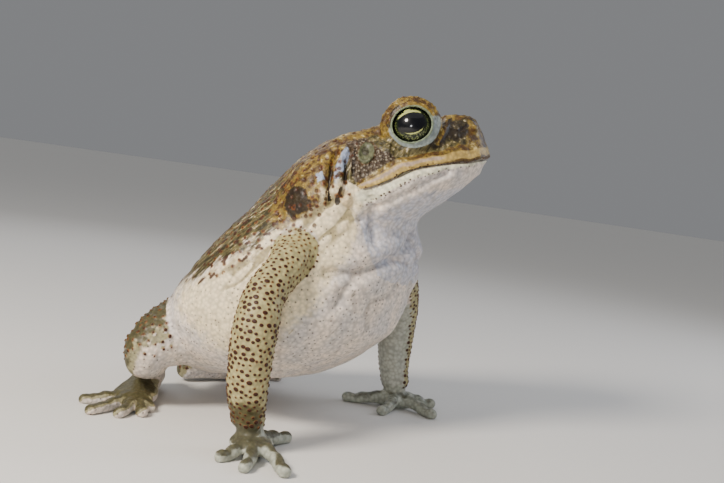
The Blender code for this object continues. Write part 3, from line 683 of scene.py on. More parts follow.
def open_eyes(clay):
    """The hollow that holds each eyeball, and the opening of the lids in front of it."""
    for side in (1, -1):
        centre, out, along, up = eye_frame(side)
        clay.cut(*clay.ball(centre, [EYE_RADIUS + 0.02] * 3, np.eye(3)), 0.15)
        rim = arc_on_eye(side, EYE_APERTURE[0] + 0.30, EYE_APERTURE[1] + 0.30, 0.0, 360.0,
                         EYE_RADIUS + 0.42, 49)
        clay.press(*clay.cord(rim, np.full(49, 0.42)), 0.25)
        where, (x, y, z) = clay.window(centre - 12.0, centre + 12.0)
        away = (x - centre[0], y - centre[1], z - centre[2])
        across, over, ahead = (sum(a * b for a, b in zip(away, axis)) for axis in (along, up, out))
        narrow = np.sqrt((across / EYE_APERTURE[0]) ** 2 + (over / EYE_APERTURE[1]) ** 2)
        tube = (narrow - 1.0) * min(EYE_APERTURE)
        clay.cut(where, np.maximum(tube, 1.0 - ahead), 0.25)


def flatten(clay):
    """Nothing reaches below the floor, and what rests on it is flat there."""
    where, (x, y, z) = clay.window((-80, -80, -5), (60, 80, 12))
    clay.field[where] = np.maximum(clay.field[where], 0.02 - z + 0 * x + 0 * y)


BODY_BOX = ((-66.0, -62.0, -2.0), (36.0, 58.0, 104.0))     # holds the whole toad


def body_surface(step):
    """The whole toad's smooth surface in points and triangles, mm."""
    clay = Clay(*BODY_BOX, step)
    clay.add_rings(trunk_surface(240, 120), 2.0, 7.0)
    clay.press(*clay.ball(*CHEST, np.eye(3)), 6.0)
    press_glands(clay)
    press_arm(clay, ARM_RIGHT, HAND_RIGHT, FINGERS_RIGHT)
    press_arm(clay, ARM_LEFT, HAND_LEFT, FINGERS_LEFT)
    for side in (1, -1):
        press_leg(clay, side)
    press_head(clay)
    open_eyes(clay)
    flatten(clay)
    return clay.surface()


# ---- noise, pairs and even scatter ----
def noise(points, size, seed=0):
    """Smooth noise between -1 and 1 with lumps about size mm across: each corner of a cubic
    lattice holds a hashed number, and they are blended over the cell by a smooth step."""
    q = points / size + 1000.0
    cell = np.floor(q).astype(np.int64)
    t = q - cell
    t = t * t * (3.0 - 2.0 * t)
    total = np.zeros(len(points))
    for corner in np.ndindex(2, 2, 2):
        c = cell + corner
        key = c[:, 0] * 73856093 ^ c[:, 1] * 19349663 ^ c[:, 2] * 83492791 ^ seed * 2654435761
        key = (key ^ (key >> 13)) * 1274126177
        value = ((key ^ (key >> 16)) & 0xFFFF) / 32767.5 - 1.0
        weight = np.prod(np.where(np.array(corner, bool), t, 1.0 - t), axis=1)
        total += value * weight
    return total


def near_pairs(points, spots, reach):
    """All pairs of a point and a spot nearer than reach, with their gap: the points are sorted
    by the cubic cell they lie in, and each spot looks in its own cell and the 26 round it."""
    def key(cells):
        return (cells[..., 0] * 1000003 + cells[..., 1]) * 1000003 + cells[..., 2]
    home = key(np.floor(points / reach).astype(np.int64))
    order = np.argsort(home)
    home = home[order]
    steps = np.stack(np.meshgrid(*[(-1, 0, 1)] * 3, indexing="ij"), -1).reshape(-1, 3)
    wanted = key(np.floor(spots / reach).astype(np.int64)[:, None] + steps)
    first = np.searchsorted(home, wanted.ravel(), "left")
    count = np.searchsorted(home, wanted.ravel(), "right") - first
    spot = np.repeat(np.arange(len(spots)), count.reshape(len(spots), -1).sum(1))
    start = np.repeat(first - (np.cumsum(count) - count), count)
    point = order[np.arange(count.sum()) + start]
    gap = lengths(points[point] - spots[spot])
    near = gap < reach
    return point[near], spot[near], gap[near]


def scatter(points, allowed, spacing, seed):
    """Indices of points spread evenly at random, none nearer another than the spacing: every
    candidate gets a random rank, the lowest of each neighbourhood is kept and its neighbours
    are dropped, until no candidate is left."""
    rng = np.random.default_rng(seed)
    index = np.flatnonzero(allowed & (rng.random(len(points)) < 1.2 / spacing ** 2))
    here = points[index]
    a, b, _ = near_pairs(here, here, spacing)
    rank = rng.random(len(index))
    alive = np.ones(len(index), bool)
    kept = np.zeros(len(index), bool)
    while alive.any():
        lowest = np.full(len(index), 2.0)
        other = (a != b) & alive[b]
        np.minimum.at(lowest, a[other], rank[b[other]])
        new = alive & (rank < lowest)
        kept |= new
        alive[b[new[a]]] = False
        alive[new] = False
    return index[kept]


def bump(points, spots, radii, heights, ways=None, stretch=1.0):
    """The height of round or drawn-out bumps at each point: the height of the tallest bump there,
    times the square of 1 less the squared share of its radius. Ways draw them out by stretch."""
    total = np.zeros(len(points))
    if len(spots) == 0:
        return total
    point, spot, gap = near_pairs(points, spots, float(np.max(radii) * np.max(stretch)))
    share = (gap / radii[spot]) ** 2
    if ways is not None:
        lengthwise = np.sum((points[point] - spots[spot]) * ways[spot], 1) ** 2
        grow = np.broadcast_to(stretch, len(spots))[spot] ** 2
        share = (gap ** 2 - lengthwise + lengthwise / grow) / radii[spot] ** 2
    value = heights[spot] * np.clip(1.0 - share, 0.0, 1.0) ** 2
    np.maximum.at(total, point, value)
    return total


def vertex_normals(points, faces):
    """Outward directions: the sum of the cross products of each point's triangles."""
    a, b, c = (points[faces[:, i]] for i in range(3))
    cross = np.cross(b - a, c - a)
    total = np.stack([np.bincount(faces.ravel(), np.repeat(cross[:, i], 3), len(points))
                      for i in range(3)], 1)
    return unit(total)


# ---- where a point of the skin lies ----
BACK_SLANT = 54.0         # degrees that the back rises forwards
HIND = -25.0              # the hind legs lie behind this, the arms before it


class Places:
    """The skin's points in the body's own measures: along and round the trunk, on the head, and
    how much each belongs to an arm, a leg, a hand or a foot."""

    def __init__(self, points, normals):
        self.points, self.normals = points, normals
        self.along, self.turn, self.out = trunk_place(points)
        self.behind, self.side, self.above = head_place(points)
        self.lip = self.above - mouth_height(self.behind)
        self.flank = np.where(points[:, 1] < 0, -1.0, 1.0)
        # degrees above the body's side line, the same on both flanks
        self.rise = np.degrees(np.arcsin(np.clip(np.sin(np.radians(self.turn)), -1, 1)))
        self.head = ease(self.along, 0.975, 1.0)
        self.arm, self.arm_share = self.limb((ARM_RIGHT, 1.0), (ARM_LEFT, 1.0))
        self.arm = self.arm * ease(self.arm_share, 0.08, 0.2) * (points[:, 0] > HIND)
        self.leg = self.limb((THIGH, 1.0), (THIGH, -1.0))[0]
        self.leg = self.leg * ease(np.abs(points[:, 1]), 15.0, 24.0) * ease(self.out, 1.03, 1.1)
        shank = self.limb((SHANK, 1.0), (SHANK, -1.0), (SOLE, 1.0), (SOLE, -1.0))[0]
        self.leg = np.maximum(self.leg, shank) * (points[:, 0] < HIND)
        low = ease(-points[:, 2], -10.0, -6.0)
        self.hand = low * (points[:, 0] > -22)
        self.foot = low * (points[:, 0] < -30) * ease(np.abs(points[:, 1]), 5.0, 8.0)
        self.leg = np.maximum(self.leg, self.foot)
        self.trunk = (1 - self.head) * (1 - self.arm) * (1 - self.leg) * (1 - self.hand)
        # how far a point faces away from the body's middle
        self.outer = normals[:, 1] * self.flank

    def limb(self, *tables):
        """How surely a point lies on the nearest of some limbs, and its share along it."""
        best = np.full(len(self.points), 9.0)
        along = np.zeros(len(self.points))
        for table, mirror in tables:
            share, out = limb_place(self.points, table, mirror)
            along = np.where(out < best, share, along)
            best = np.minimum(best, out)
        return 1.0 - ease(best, 1.12, 1.32), along

    def lie(self):
        """The way the marks of the skin run: up the slant of the back and along the head."""
        slope = math.radians(BACK_SLANT)
        trunk = np.array([math.cos(slope), 0.0, math.sin(slope)])
        return unit((1 - self.head)[:, None] * trunk + self.head[:, None] * HEAD_FORWARD)


def gland_gap(points):
    """Distance of each point to the middle line of the nearer shoulder gland."""
    ends = [[end[0] for end in gland_ends(side)] for side in (1, -1)]
    return np.minimum(*(line_gap(points, np.array(pair)) for pair in ends))


def eye_gap(points):
    """Distance to the nearer eye's centre, and how far in front of it, below it and ahead."""
    views = []
    for side in (1, -1):
        centre, out, along, up = eye_frame(side)
        away = points - centre
        views.append(np.stack([lengths(away), away @ out, away @ up, away @ along]))
    return np.where(views[0][0] < views[1][0], views[0], views[1])


# ---- folds and warts ----
# creases of loose skin on the right side as points on it: half width, depth, points
CREASES = (
    (1.3, 0.9, ((9.8, -20.1, 67.4), (10.2, -18.9, 64.8), (9.2, -17.1, 61.5), (8.7, -14.8, 58.2),
                (10.0, -15.2, 55.7))),
    (1.5, 1.35, ((2.7, -25.6, 46.1), (4.7, -23.6, 46.8), (6.7, -21.0, 47.2), (8.3, -18.2, 47.7),
                 (11.4, -14.5, 49.3), (12.8, -11.9, 50.4), (13.8, -9.3, 51.6), (14.4, -6.1, 53.1),
                 (14.7, -3.7, 54.3), (14.3, -1.8, 56.1), (13.8, -0.5, 57.7))),
    (1.4, 0.9, ((7.8, -19.3, 46.8), (7.2, -20.5, 44.3), (6.4, -21.9, 42.4), (5.9, -22.5, 40.4),
                (5.5, -22.9, 38.5))),
    (1.1, 0.7, ((13.8, -9.3, 51.6), (14.7, -5.9, 50.9), (15.1, -1.9, 49.8))),
    (1.5, 0.5, ((13.7, -4.7, 44.8), (12.0, -6.5, 41.9), (11.3, -11.1, 40.5), (10.6, -13.1, 39.2),
                 (10.2, -13.7, 36.1), (9.9, -10.5, 31.9))),
)
# on the head: the crease under the lower lip, the fold behind the jaw and the neck's wrinkles,
# as mm behind the snout, out and above the mouth
HEAD_CREASES = (
    (0.9, 1.0, ((10.0, 16.5, -2.6), (17.0, 19.0, -4.2), (24.0, 20.8, -5.4), (30.0, 21.6, -6.8),
                (35.0, 21.8, -8.6))),
    (0.6, 1.2, ((33.0, 19.6, 11.8), (34.8, 21.4, 7.8), (36.6, 22.2, 3.2), (38.0, 22.6, -0.6))),
    (0.5, 0.7, ((32.0, 19.2, 11.0), (33.3, 21.4, 7.0), (34.7, 22.2, 2.8))),
    (0.7, 1.2, ((37.7, 19.6, 11.2), (39.6, 21.6, 6.6), (41.4, 22.6, 1.8), (42.2, 23.0, -2.0))),
    (0.55, 0.45, ((24.2, 18.8, 5.4), (20.0, 18.6, 4.4), (15.0, 17.4, 3.9), (11.0, 15.4, 4.2))),
)


def nearest(points, spots):
    """The skin's points nearest to the given ones."""
    return np.array([points[np.argmin(lengths(points - np.asarray(spot)))]
                     for spot in spots])


def snapped(points, line):
    """A curve through the skin's points nearest to the given ones."""
    return spline(nearest(points, line), 8 * len(line))


def crease(points, line, width, depth):
    """A fold: sunk as a bell over its half width, with a lower swelling along both sides."""
    gap = line_gap(points, line)
    swelling = np.exp(-((gap - 2.6 * width) / (1.5 * width)) ** 2)
    return depth * (0.3 * swelling - np.exp(-(gap / width) ** 2))


def all_creases(points):
    """The height of all folds of both sides."""
    total = np.zeros(len(points))
    for side in (1, -1):
        for width, depth, line in CREASES:
            line = [(x, -y * side, z) for x, y, z in line]
            total += crease(points, snapped(points, line), width, depth)
        for width, depth, line in HEAD_CREASES:
            line = [head_point(b, side * out, h) for b, out, h in line]
            total += crease(points, snapped(points, line), width, depth)
    return total


# single lumps of the head: radius, height, place as mm behind the snout, out and above the mouth
LUMPS = ((2.4, 0.7, (37.6, 22.4, -1.9)), (1.3, 0.5, (32.7, 22.1, 1.6)))
# how high on the flank the olive of the back begins, degrees of rise after the share along
FLANK_LINE = ((0.0, 0.45, 0.5, 0.555, 0.62, 0.7, 0.85, 1.0),
              (45.0, 45.0, 38.0, 25.0, 17.0, 13.0, 7.0, 2.0))


def drawn_out(at, share):
    """The points with their lengthwise measure shrunk, so that noise on them runs in streaks."""
    way = at.lie()
    return at.points - share * np.sum(at.points * way, 1)[:, None] * way


def pleats(at):
    """Long thin folds of the cream band between flank and belly: where streaked noise is nearly
    0, and only just below the flank's line."""
    lines = 1 - ease(np.abs(noise(drawn_out(at, 0.93), 2.6, 41)), 0.08, 0.45)
    below = at.rise - np.interp(at.along, *FLANK_LINE)
    return lines * at.trunk * (1 - ease(np.abs(below + 14.0), 8.0, 22.0)) * ease(at.along, 0.5, 0.7)


# least distance between two warts of a kind, mm
SPACING = {"small": 2.3, "rust": 2.1, "leg": 1.9, "cheek": 1.1, "crown": 2.0, "lid": 1.3, "pores": 2.4}
# their radius and height, mm
RELIEF = {"small": (1.1, 0.07), "arm": (0.95, 0.16), "rust": (0.9, 0.1), "leg": (1.0, 0.3),
          "cheek": (0.68, 0.34), "crown": (0.9, 0.22), "lid": (0.7, 0.22)}
PORE = (0.8, 0.35)        # radius and depth of a gland's pore
PLEAT_DEPTH = 0.38


class Warts:
    """Places, sizes and kinds of all bumps of the skin, picked on its dense surface."""

    def __init__(self, at, settings):
        p = at.points
        eye = eye_gap(p)
        gland = gland_gap(p)
        clear = (eye[0] > 9.4) & (at.points[:, 2] > 1.5)
        over = at.rise - np.interp(at.along, *FLANK_LINE)
        back = (at.trunk > 0.6) & (over > -4) & (at.along > 0.06) & (gland > 7.0)
        rng = np.random.default_rng(3)
        self.big = scatter(p, back & clear, settings.wart_spacing / MM, 11)
        self.big_radius = rng.uniform(0.45, 0.85, len(self.big))
        self.big_stretch = rng.uniform(1.4, 2.6, len(self.big))
        top = (at.trunk > 0.4) & (over > -18) & clear
        self.small = scatter(p, top & (gland > 6.0), SPACING["small"], 12)
        arm = (at.arm > 0.6) & (at.outer > -0.4) & (at.hand < 0.8)
        self.arm = scatter(p, arm, settings.tip_spacing / MM, 13)
        nape = (at.trunk > 0.5) & (at.along > 0.6) & (over > -5) & (gland > 5.0)
        self.rust = scatter(p, nape, SPACING["rust"], 19)
        leg = (at.leg > 0.5) & (at.normals[:, 2] > -0.2) & (at.foot < 0.3)
        self.leg = scatter(p, leg, SPACING["leg"], 14)
        cheek = ((at.head > 0.5) & (at.behind > 19) & (at.behind < 33.5) & (at.lip > 4.2)
                 & (at.above < 12.5) & (eye[0] > 9.0))
        ears = [lengths(p - ear_frame(side)[0]) for side in (1, -1)]
        self.cheek = scatter(p, cheek & (np.minimum(*ears) > 3.3), SPACING["cheek"], 15)
        crown = ((at.head > 0.5) & (at.above > 5.0) & (eye[0] > 8.6) & (at.normals @ HEAD_UP > 0.3))
        self.crown = scatter(p, crown, SPACING["crown"], 16)
        lid = (eye[0] > 7.4) & (eye[0] < 9.6) & (eye[2] > 2.0) & (at.head > 0)
        self.lid = scatter(p, lid, SPACING["lid"], 17)
        self.pores = scatter(p, gland < 7.5, SPACING["pores"], 18)
        self.relief = self.heights(p, at)

    def heights(self, p, at):
        """How far each point of the skin is raised, mm: lumps, folds and every kind of wart."""
        lie = at.lie()
        total = 0.32 * noise(p, 8.0, 21) * (1 - at.head) + 0.12 * noise(p, 2.6, 22)
        total += 0.06 * noise(p, 1.3, 23) * np.clip(at.trunk * ease(at.rise, -10, 10), 0, 1)
        total += all_creases(p)
        total += bump(p, p[self.big], self.big_radius * 1.9, 0.02 + 0.2 * self.big_radius,
                      lie[self.big], self.big_stretch)
        total -= PLEAT_DEPTH * pleats(at)
        for radius, height, spot in LUMPS:
            for side in (1, -1):
                middle = nearest(p, [head_point(spot[0], side * spot[1], spot[2])])
                total += bump(p, middle, np.array([radius]), np.array([height]))
        for kind, (radius, height) in RELIEF.items():
            spots = getattr(self, kind)
            size = np.random.default_rng(5).uniform(0.75, 1.2, len(spots))
            total += bump(p, p[spots], radius * size, height * size)
        total -= bump(p, p[self.pores], *(np.full(len(self.pores), size) for size in PORE))
        # the lids' inner edge and what rests on the floor keep their shape
        eye = eye_gap(p)
        rim = (1 - ease(np.hypot(eye[3] / (EYE_APERTURE[0] + 1.0),
                                 eye[2] / (EYE_APERTURE[1] + 1.0)), 0.95, 1.25))
        keep = 1.0 - rim * (eye[0] < 9.0) * (eye[1] > 0)
        return total * keep * ease(p[:, 2], 0.1, 0.8)


def thinned(points, faces, most):
    """The same surface with at most so many triangles, by collapsing its shortest edges."""
    mesh = bpy.data.meshes.new("dense")
    mesh.vertices.add(len(points))
    mesh.vertices.foreach_set("co", points.astype(np.float32).ravel())
    fill_faces(mesh, faces)
    obj = bpy.data.objects.new("dense", mesh)
    bpy.context.scene.collection.objects.link(obj)
    modifier = obj.modifiers.new("thin", "DECIMATE")
    modifier.ratio = min(1.0, most / len(faces))
    bpy.context.view_layer.update()
    thin = bpy.data.meshes.new_from_object(obj.evaluated_get(bpy.context.evaluated_depsgraph_get()))
    new_points = np.empty(len(thin.vertices) * 3, np.float32)
    thin.vertices.foreach_get("co", new_points)
    corners = np.empty(len(thin.loops), np.int32)
    thin.loops.foreach_get("vertex_index", corners)
    bpy.data.objects.remove(obj)
    bpy.data.meshes.remove(mesh)
    bpy.data.meshes.remove(thin)
    return new_points.reshape(-1, 3).astype(float), corners.reshape(-1, 3)


MOST_TRIANGLES = 190000   # of the skin, below the 200,000 that a piece may have


@functools.lru_cache(maxsize=1)
def dressed_body(step):
    """The finished skin: points and triangles of the thinned surface, and for each kind of wart
    the places on the raised surface, their outward directions and the ways they run."""
    settings = bpy.context.scene.toad_sizes
    points, faces = body_surface(step)
    normals = vertex_normals(points, faces)
    at = Places(points, normals)
    warts = Warts(at, settings)
    raised = points + normals * warts.relief[:, None]
    lie = at.lie()
    marks = {}
    for kind in ("big", "rust", "arm", "leg", "crown", "pores"):
        index = getattr(warts, kind)
        marks[kind] = (raised[index], normals[index], lie[index])
    marks["big_size"] = (warts.big_radius, warts.big_stretch)
    return (*thinned(raised, faces, MOST_TRIANGLES), marks)


# ---- the skin's markings ----
# heights of the upper lip's top and depths of the lower lip's foot, mm from the mouth line, each
# after the mm behind the snout
LIP_TOP = ((1.8, 4.1), (5.7, 4.4), (9.9, 3.3), (13.9, 3.0), (17.8, 2.9), (21.6, 3.9), (25.0, 3.8),
           (29.6, 3.0), (33.6, 1.9))
LIP_FOOT = ((0.0, 0.8), (5.4, 1.0), (10.3, 1.5), (15.3, 2.2), (21.4, 2.3), (26.8, 2.7), (31.7, 3.6))
LEG_SHADE = np.array([-0.75, 0.0, 0.66])      # the way that the legs' dark side faces
# places behind the jaw, as mm behind the snout, out and above the mouth
BLUE_FOLD = ((34.4, 19.2, 11.0), (35.4, 20.4, 9.2), (37.3, 21.8, 6.2), (39.2, 22.8, 2.2),
             (39.6, 23.0, 1.0))
TEARDROP = ((38.6, 22.7, 1.9), (39.0, 23.0, -0.4), (40.3, 23.5, -2.4))
NECK_RING = (38.9, 23.0, -0.6)
RINGED = ((0.863, 14.0), (0.894, 9.0))        # ringed spots of the shoulder: along, rise
FRONT_GROOVE = ((6.2, 11.9), (6.6, 10.8), (7.2, 9.2), (8.6, 7.2), (10.2, 5.7))
# oval marks by their middle and half sizes, on the trunk as share along and degrees of rise
SHOULDER_PATCH = ((0.873, 15.0), (0.036, 11.0))
BAND_FRONT = ((0.945, 8.0), (0.03, 26.0))     # the cream skin between the neck and the shoulder
GREY_SPOT = ((0.94, 22.0), (0.014, 4.0))
# and on the head as mm behind the snout and above the mouth
LIP_CORNER = ((32.7, 1.6), (1.0, 1.1))
NOSE_PATCH = ((5.4, 8.0), (3.6, 3.4))
UNDER_LID = ((11.0, 6.0), (2.4, 1.6))
NECK_LUMP = ((37.6, -1.9), (1.7, 2.8))
EARDRUM = ((29.6, 8.4), (2.5, 3.2))
EAR_SPOT = ((29.8, 8.8), (1.2, 1.7))
EAR_LEAN = 0.18           # how far the eardrum's colour leans for each mm upwards


def band(value, middle, half):
    """1 at the middle, falling to 0 half away on both sides."""
    return 1.0 - ease(np.abs(value - middle), 0.35 * half, half)


def oval(at_a, at_b, middle, half, wander):
    """1 inside an oval of two measures and 0 outside it, its edge moved by wander."""
    out = np.hypot((at_a - middle[0]) / half[0], (at_b - middle[1]) / half[1])
    return 1.0 - ease(out + wander, 0.75, 1.1)


def spot_mask(points, spots, radius, sharp=0.55):
    """1 within a share of the radius round each spot, easing to 0 at the radius."""
    total = np.zeros(len(points))
    point, _, gap = near_pairs(points, spots, radius)
    np.maximum.at(total, point, 1.0 - ease(gap, sharp * radius, radius))
    return total


def lid_marks(at, eye, wisp):
    """The upper lid, the edge of both lids and the lower lid. The last two are told by the share
    of the way out over the eye's opening: 1 on the ellipse of its half sizes."""
    wide = np.hypot(eye[3] / EYE_APERTURE[0], eye[2] / EYE_APERTURE[1])
    by_eye = at.head * (eye[1] > 0.5) * (1 - ease(eye[0], 9.2, 10.2))
    upper = at.head * (1 - ease(eye[0], 8.6, 9.6)) * ease(eye[2] + 0.5 * wisp, -3.0, 0.5)
    edge = by_eye * (1 - ease(wide + 0.04 * wisp, 1.06, 1.16))
    ahead = eye[3] / np.maximum(np.hypot(eye[3], eye[2]), 0.1)
    reach = wide + 0.05 * wisp - 0.14 * ahead
    return upper, edge, by_eye * (1 - ease(reach, 1.3, 1.42)) * ease(-eye[2], -1.6, 0.2)


def lip_marks(at, over, under, before_corner, bare):
    """The bands of the lips, by the share of the way from the mouth line to the upper lip's top
    and to the lower lip's foot."""
    head = at.head
    brown = np.maximum(0.5 * band(over, 1.0, 0.16),
                       0.8 * band(over, 0.16, 0.18) * ease(-at.behind, -16, -6))
    edges = np.maximum(band(over, 0.12, 0.22), band(under, 1.0, 0.3))
    return {
        "lip": head * band(over, 0.45, 0.5) * before_corner,
        # the upper lip's pinkish middle: partly its own tone, partly painted highlight on the lip's
        # roll
        "lilac": head * band(over, 0.56, 0.2) * before_corner * ease(at.behind, 8.0, 13.0),
        "lip_brown": head * before_corner * brown,
        "pale_lip": head * band(under, 0.5, 0.75) * ease(-at.behind, -38.0, -32.0),
        "lip_edge": head * edges * bare * ease(-at.behind, -37.0, -32.0),
        # mouth: painted shade along the groove between the lips
        "mouth": head * (1 - ease(np.abs(at.lip + 0.05), 0.15, 0.5)) * ease(-at.behind, -34, -32),
    }


def limb_marks(at, wave, wisp):
    """The pale outer sides of the arms and legs, the arms' inner sides and the dark tops."""
    shade = at.normals @ LEG_SHADE + 0.3 * wave
    leg_top = at.leg * ease(shade + 0.2 * wisp, -0.2, 0.35)
    hand_top = at.hand * ease(at.normals[:, 2] + 0.7 * wisp, 0.1, 0.8)
    wrist = at.arm * ease(-at.points[:, 2] + 1.5 * wisp, -17.0, -10.0) * ease(at.outer, -0.3, 0.4)
    below_shoulder = ease(at.arm_share + 0.05 * wave, 0.08, 0.24)
    return {
        "limb": at.arm * ease(at.outer + 0.25 * wave, -0.75, -0.2) * below_shoulder,
        "inner": np.maximum(at.arm * ease(-at.outer + 0.3 * wave, 0.2, 0.6), 0.85 * at.hand),
        "leg": np.maximum(at.leg * ease(shade, -0.7, -0.1), 0.8 * at.hand),
        # dark olive tops of the legs, hands and wrists; the right hand's tops darker than the left's
        # are painted shade
        "dusk": greatest([leg_top, np.where(at.flank < 0, 0.85, 0.5) * hand_top, 0.8 * wrist]),
    }


def wart_marks(p, marks):
    """The warts' brown tops and halos, the ringed spots, the crown's pale tips, partly painted
    highlight, and the pores.
    """
    ringed = [head_point(NECK_RING[0], side * NECK_RING[1], NECK_RING[2]) for side in (1, -1)]
    ringed += [trunk_point(along, 180 - rise if side < 0 else rise)[0]
               for along, rise in RINGED for side in (1, -1)]
    ringed = nearest(p, ringed)
    return {
        "wart": np.maximum(wart_tops(p, marks), 0.9 * spot_mask(p, marks["rust"][0], 0.62, 0.3)),
        "halo": greatest([
            0.7 * spot_mask(p, marks["arm"][0], 0.8, 0.3), 0.6 * spot_mask(p, marks["leg"][0], 0.95),
            0.8 * spot_mask(p, marks["rust"][0], 1.0, 0.4)]),
        "ring_spot": spot_mask(p, ringed, 0.95, 0.6),
        "ring_heart": spot_mask(p, ringed, 0.62, 0.5),
        "pearl": 0.4 * spot_mask(p, marks["crown"][0], 0.5),
        "pore": spot_mask(p, marks["pores"][0], 1.0, 0.3),
    }


def markings(at, marks):
    """How much each kind of colour shows at each point, 0 to 1."""
    p, head = at.points, at.head
    wave, wisp, grit = noise(p, 9.0, 31), noise(p, 3.2, 32), noise(p, 1.4, 33)
    drawn = drawn_out(at, 0.85)
    streak = noise(drawn, 1.7, 34)
    eye = eye_gap(p)
    bare = (1 - at.arm) * (1 - at.leg) * (1 - at.hand)

    # the olive back, above the flank's line and the mouth's
    rear = np.maximum(at.behind - 33.0, 0.0)
    above_lip = ease(at.lip - 0.75 * rear, 0.0, 0.35 + 0.35 * rear)
    over_line = at.rise - np.interp(at.along, *FLANK_LINE)
    flank = ease(over_line + 5 * wave + 10 * streak, -18.0, 18.0)
    back = bare * (head * above_lip + (1 - head) * flank)

    # the cream band under it
    cream = bare * (1 - back) * (1 - head) * ease(at.rise, -52, -18) * ease(at.along, 0.3, 0.6)
    jaw_rear = head * ease(at.behind, 31.0, 35.0) * ease(at.lip, -9.0, -1.0) * (1 - above_lip)
    band_front = (1 - head) * oval(at.along, at.rise, *BAND_FRONT, 0.2 * wisp)
    cream = greatest([cream, jaw_rear, 0.9 * band_front])

    # the head's ridges, grooves and rims
    upper_lid, lid_edge, lower_lid = lid_marks(at, eye, wisp)
    lip = at.lip + 0.3 * wisp
    over = lip / np.interp(at.behind, *zip(*LIP_TOP))
    under = -lip / np.interp(at.behind, *zip(*LIP_FOOT))
    before_corner = ease(-at.behind, -35.0, -32.5)
    lip_ridge = head * band(over, 0.9, 0.42) * before_corner
    snout = head * ease(-at.behind, -7.0, -1.5) * ease(over, 0.3, 0.8)
    snout = snout * (1 - ease(at.above, 6.5, 8.5) * ease(at.behind, 1.5, 3.0))
    brow_line = head * ease(at.above, 10.3, 11.5) * ease(-at.behind, -14.0, -11.0)
    temple = head * ease(at.above, 11.5, 13.5) * ease(at.behind, 19.0, 22.0)
    plan = np.stack([at.behind, at.above, 0 * at.above], 1)
    ridge = head * (1 - ease(line_gap(plan, flat(EYE_RIDGE)), 0.7, 1.2)) * (eye[0] > 7.6)
    # painted shade along the groove in front of the ridge before the eye
    nose_groove_shade = head * (1 - ease(line_gap(plan, flat(FRONT_GROOVE)), 0.3, 0.8))
    # painted shade in the nostril's slit, and a painted highlight on the fold under it
    slit = head * (1 - ease(line_gap(plan, flat(NOSTRIL_SLIT)), 0.35, 0.75))
    nostril_fold_highlight = head * (1 - ease(line_gap(plan, flat(NOSTRIL_FOLD)), 0.3, 0.8))

    # ochre on the glands, lids and lips
    shoulder = (1 - head) * bare * ease(at.along, 0.72, 0.9) * ease(over_line + 9 * wisp, -6.0, 14.0)
    shoulder = shoulder * (1 - 0.9 * band_front) * ease(wave + 0.6 * wisp, -0.6, 0.3)
    gland = (1 - ease(gland_gap(p) + 1.5 * wisp, 5.5, 9.0)) * ease(at.rise, 0.0, 10.0)
    corner = head * oval(at.behind, at.above, *LIP_CORNER, 0.1 * wisp)
    ochre = greatest([gland, 0.95 * upper_lid, 0.9 * lip_ridge, 0.8 * snout, 0.75 * brow_line,
                      0.8 * temple, 0.85 * ridge, 0.6 * shoulder, corner])

    # dark patches
    patch = (1 - head) * oval(at.along, at.rise, *SHOULDER_PATCH, 0.35 * wisp)
    before_eye = head * oval(at.behind, at.above, *NOSE_PATCH, 0.2 * wisp)
    under_lid = head * oval(at.behind, at.above, *UNDER_LID, 0.2 * wisp)
    blotch = back * (1 - head) * ease(noise(drawn, 7.0, 35) + 0.45 * streak, 0.2, 0.75)
    crown = head * ease(at.above, 9.0, 12.0) * ease(noise(p, 3.5, 36) + 0.3 * grit, 0.15, 0.6)
    nose_dots = head * ease(-at.behind, -6.0, -1.0) * ease(grit, 0.3, 0.6) * ease(over, 0.1, 0.3)
    lid_dots = upper_lid * ease(noise(p, 1.8, 37), 0.25, 0.6) * (1 - lid_edge)
    dark = greatest([patch, 0.7 * before_eye, 0.7 * under_lid, 0.7 * blotch, 0.6 * crown,
                     0.7 * nose_dots, 0.65 * lid_dots])
    dark = np.maximum(dark * (1 - ridge), 0.9 * nose_groove_shade)

    # the cheek lies behind the slanting foot of the lids and above the lip
    slant = 0.743 * (at.behind - 22.6) - 0.67 * (at.above - 5.6)
    cheek = head * ease(slant + 0.5 * wisp, -0.2, 0.8) * ease(over, 1.1, 1.3)
    cheek = cheek * (1 - ease(at.behind, 33.0, 36.0)) * (1 - ease(at.above, 11.8, 13.6))
    lean = EAR_LEAN * (at.above - EARDRUM[0][1])
    ear = oval(at.behind + lean, at.above, *EARDRUM, 0.05 * wisp) * (np.abs(at.side) > 14.0)
    lump = oval(at.behind, at.above, *NECK_LUMP, 0.12 * wisp) * (np.abs(at.side) > 16.0)

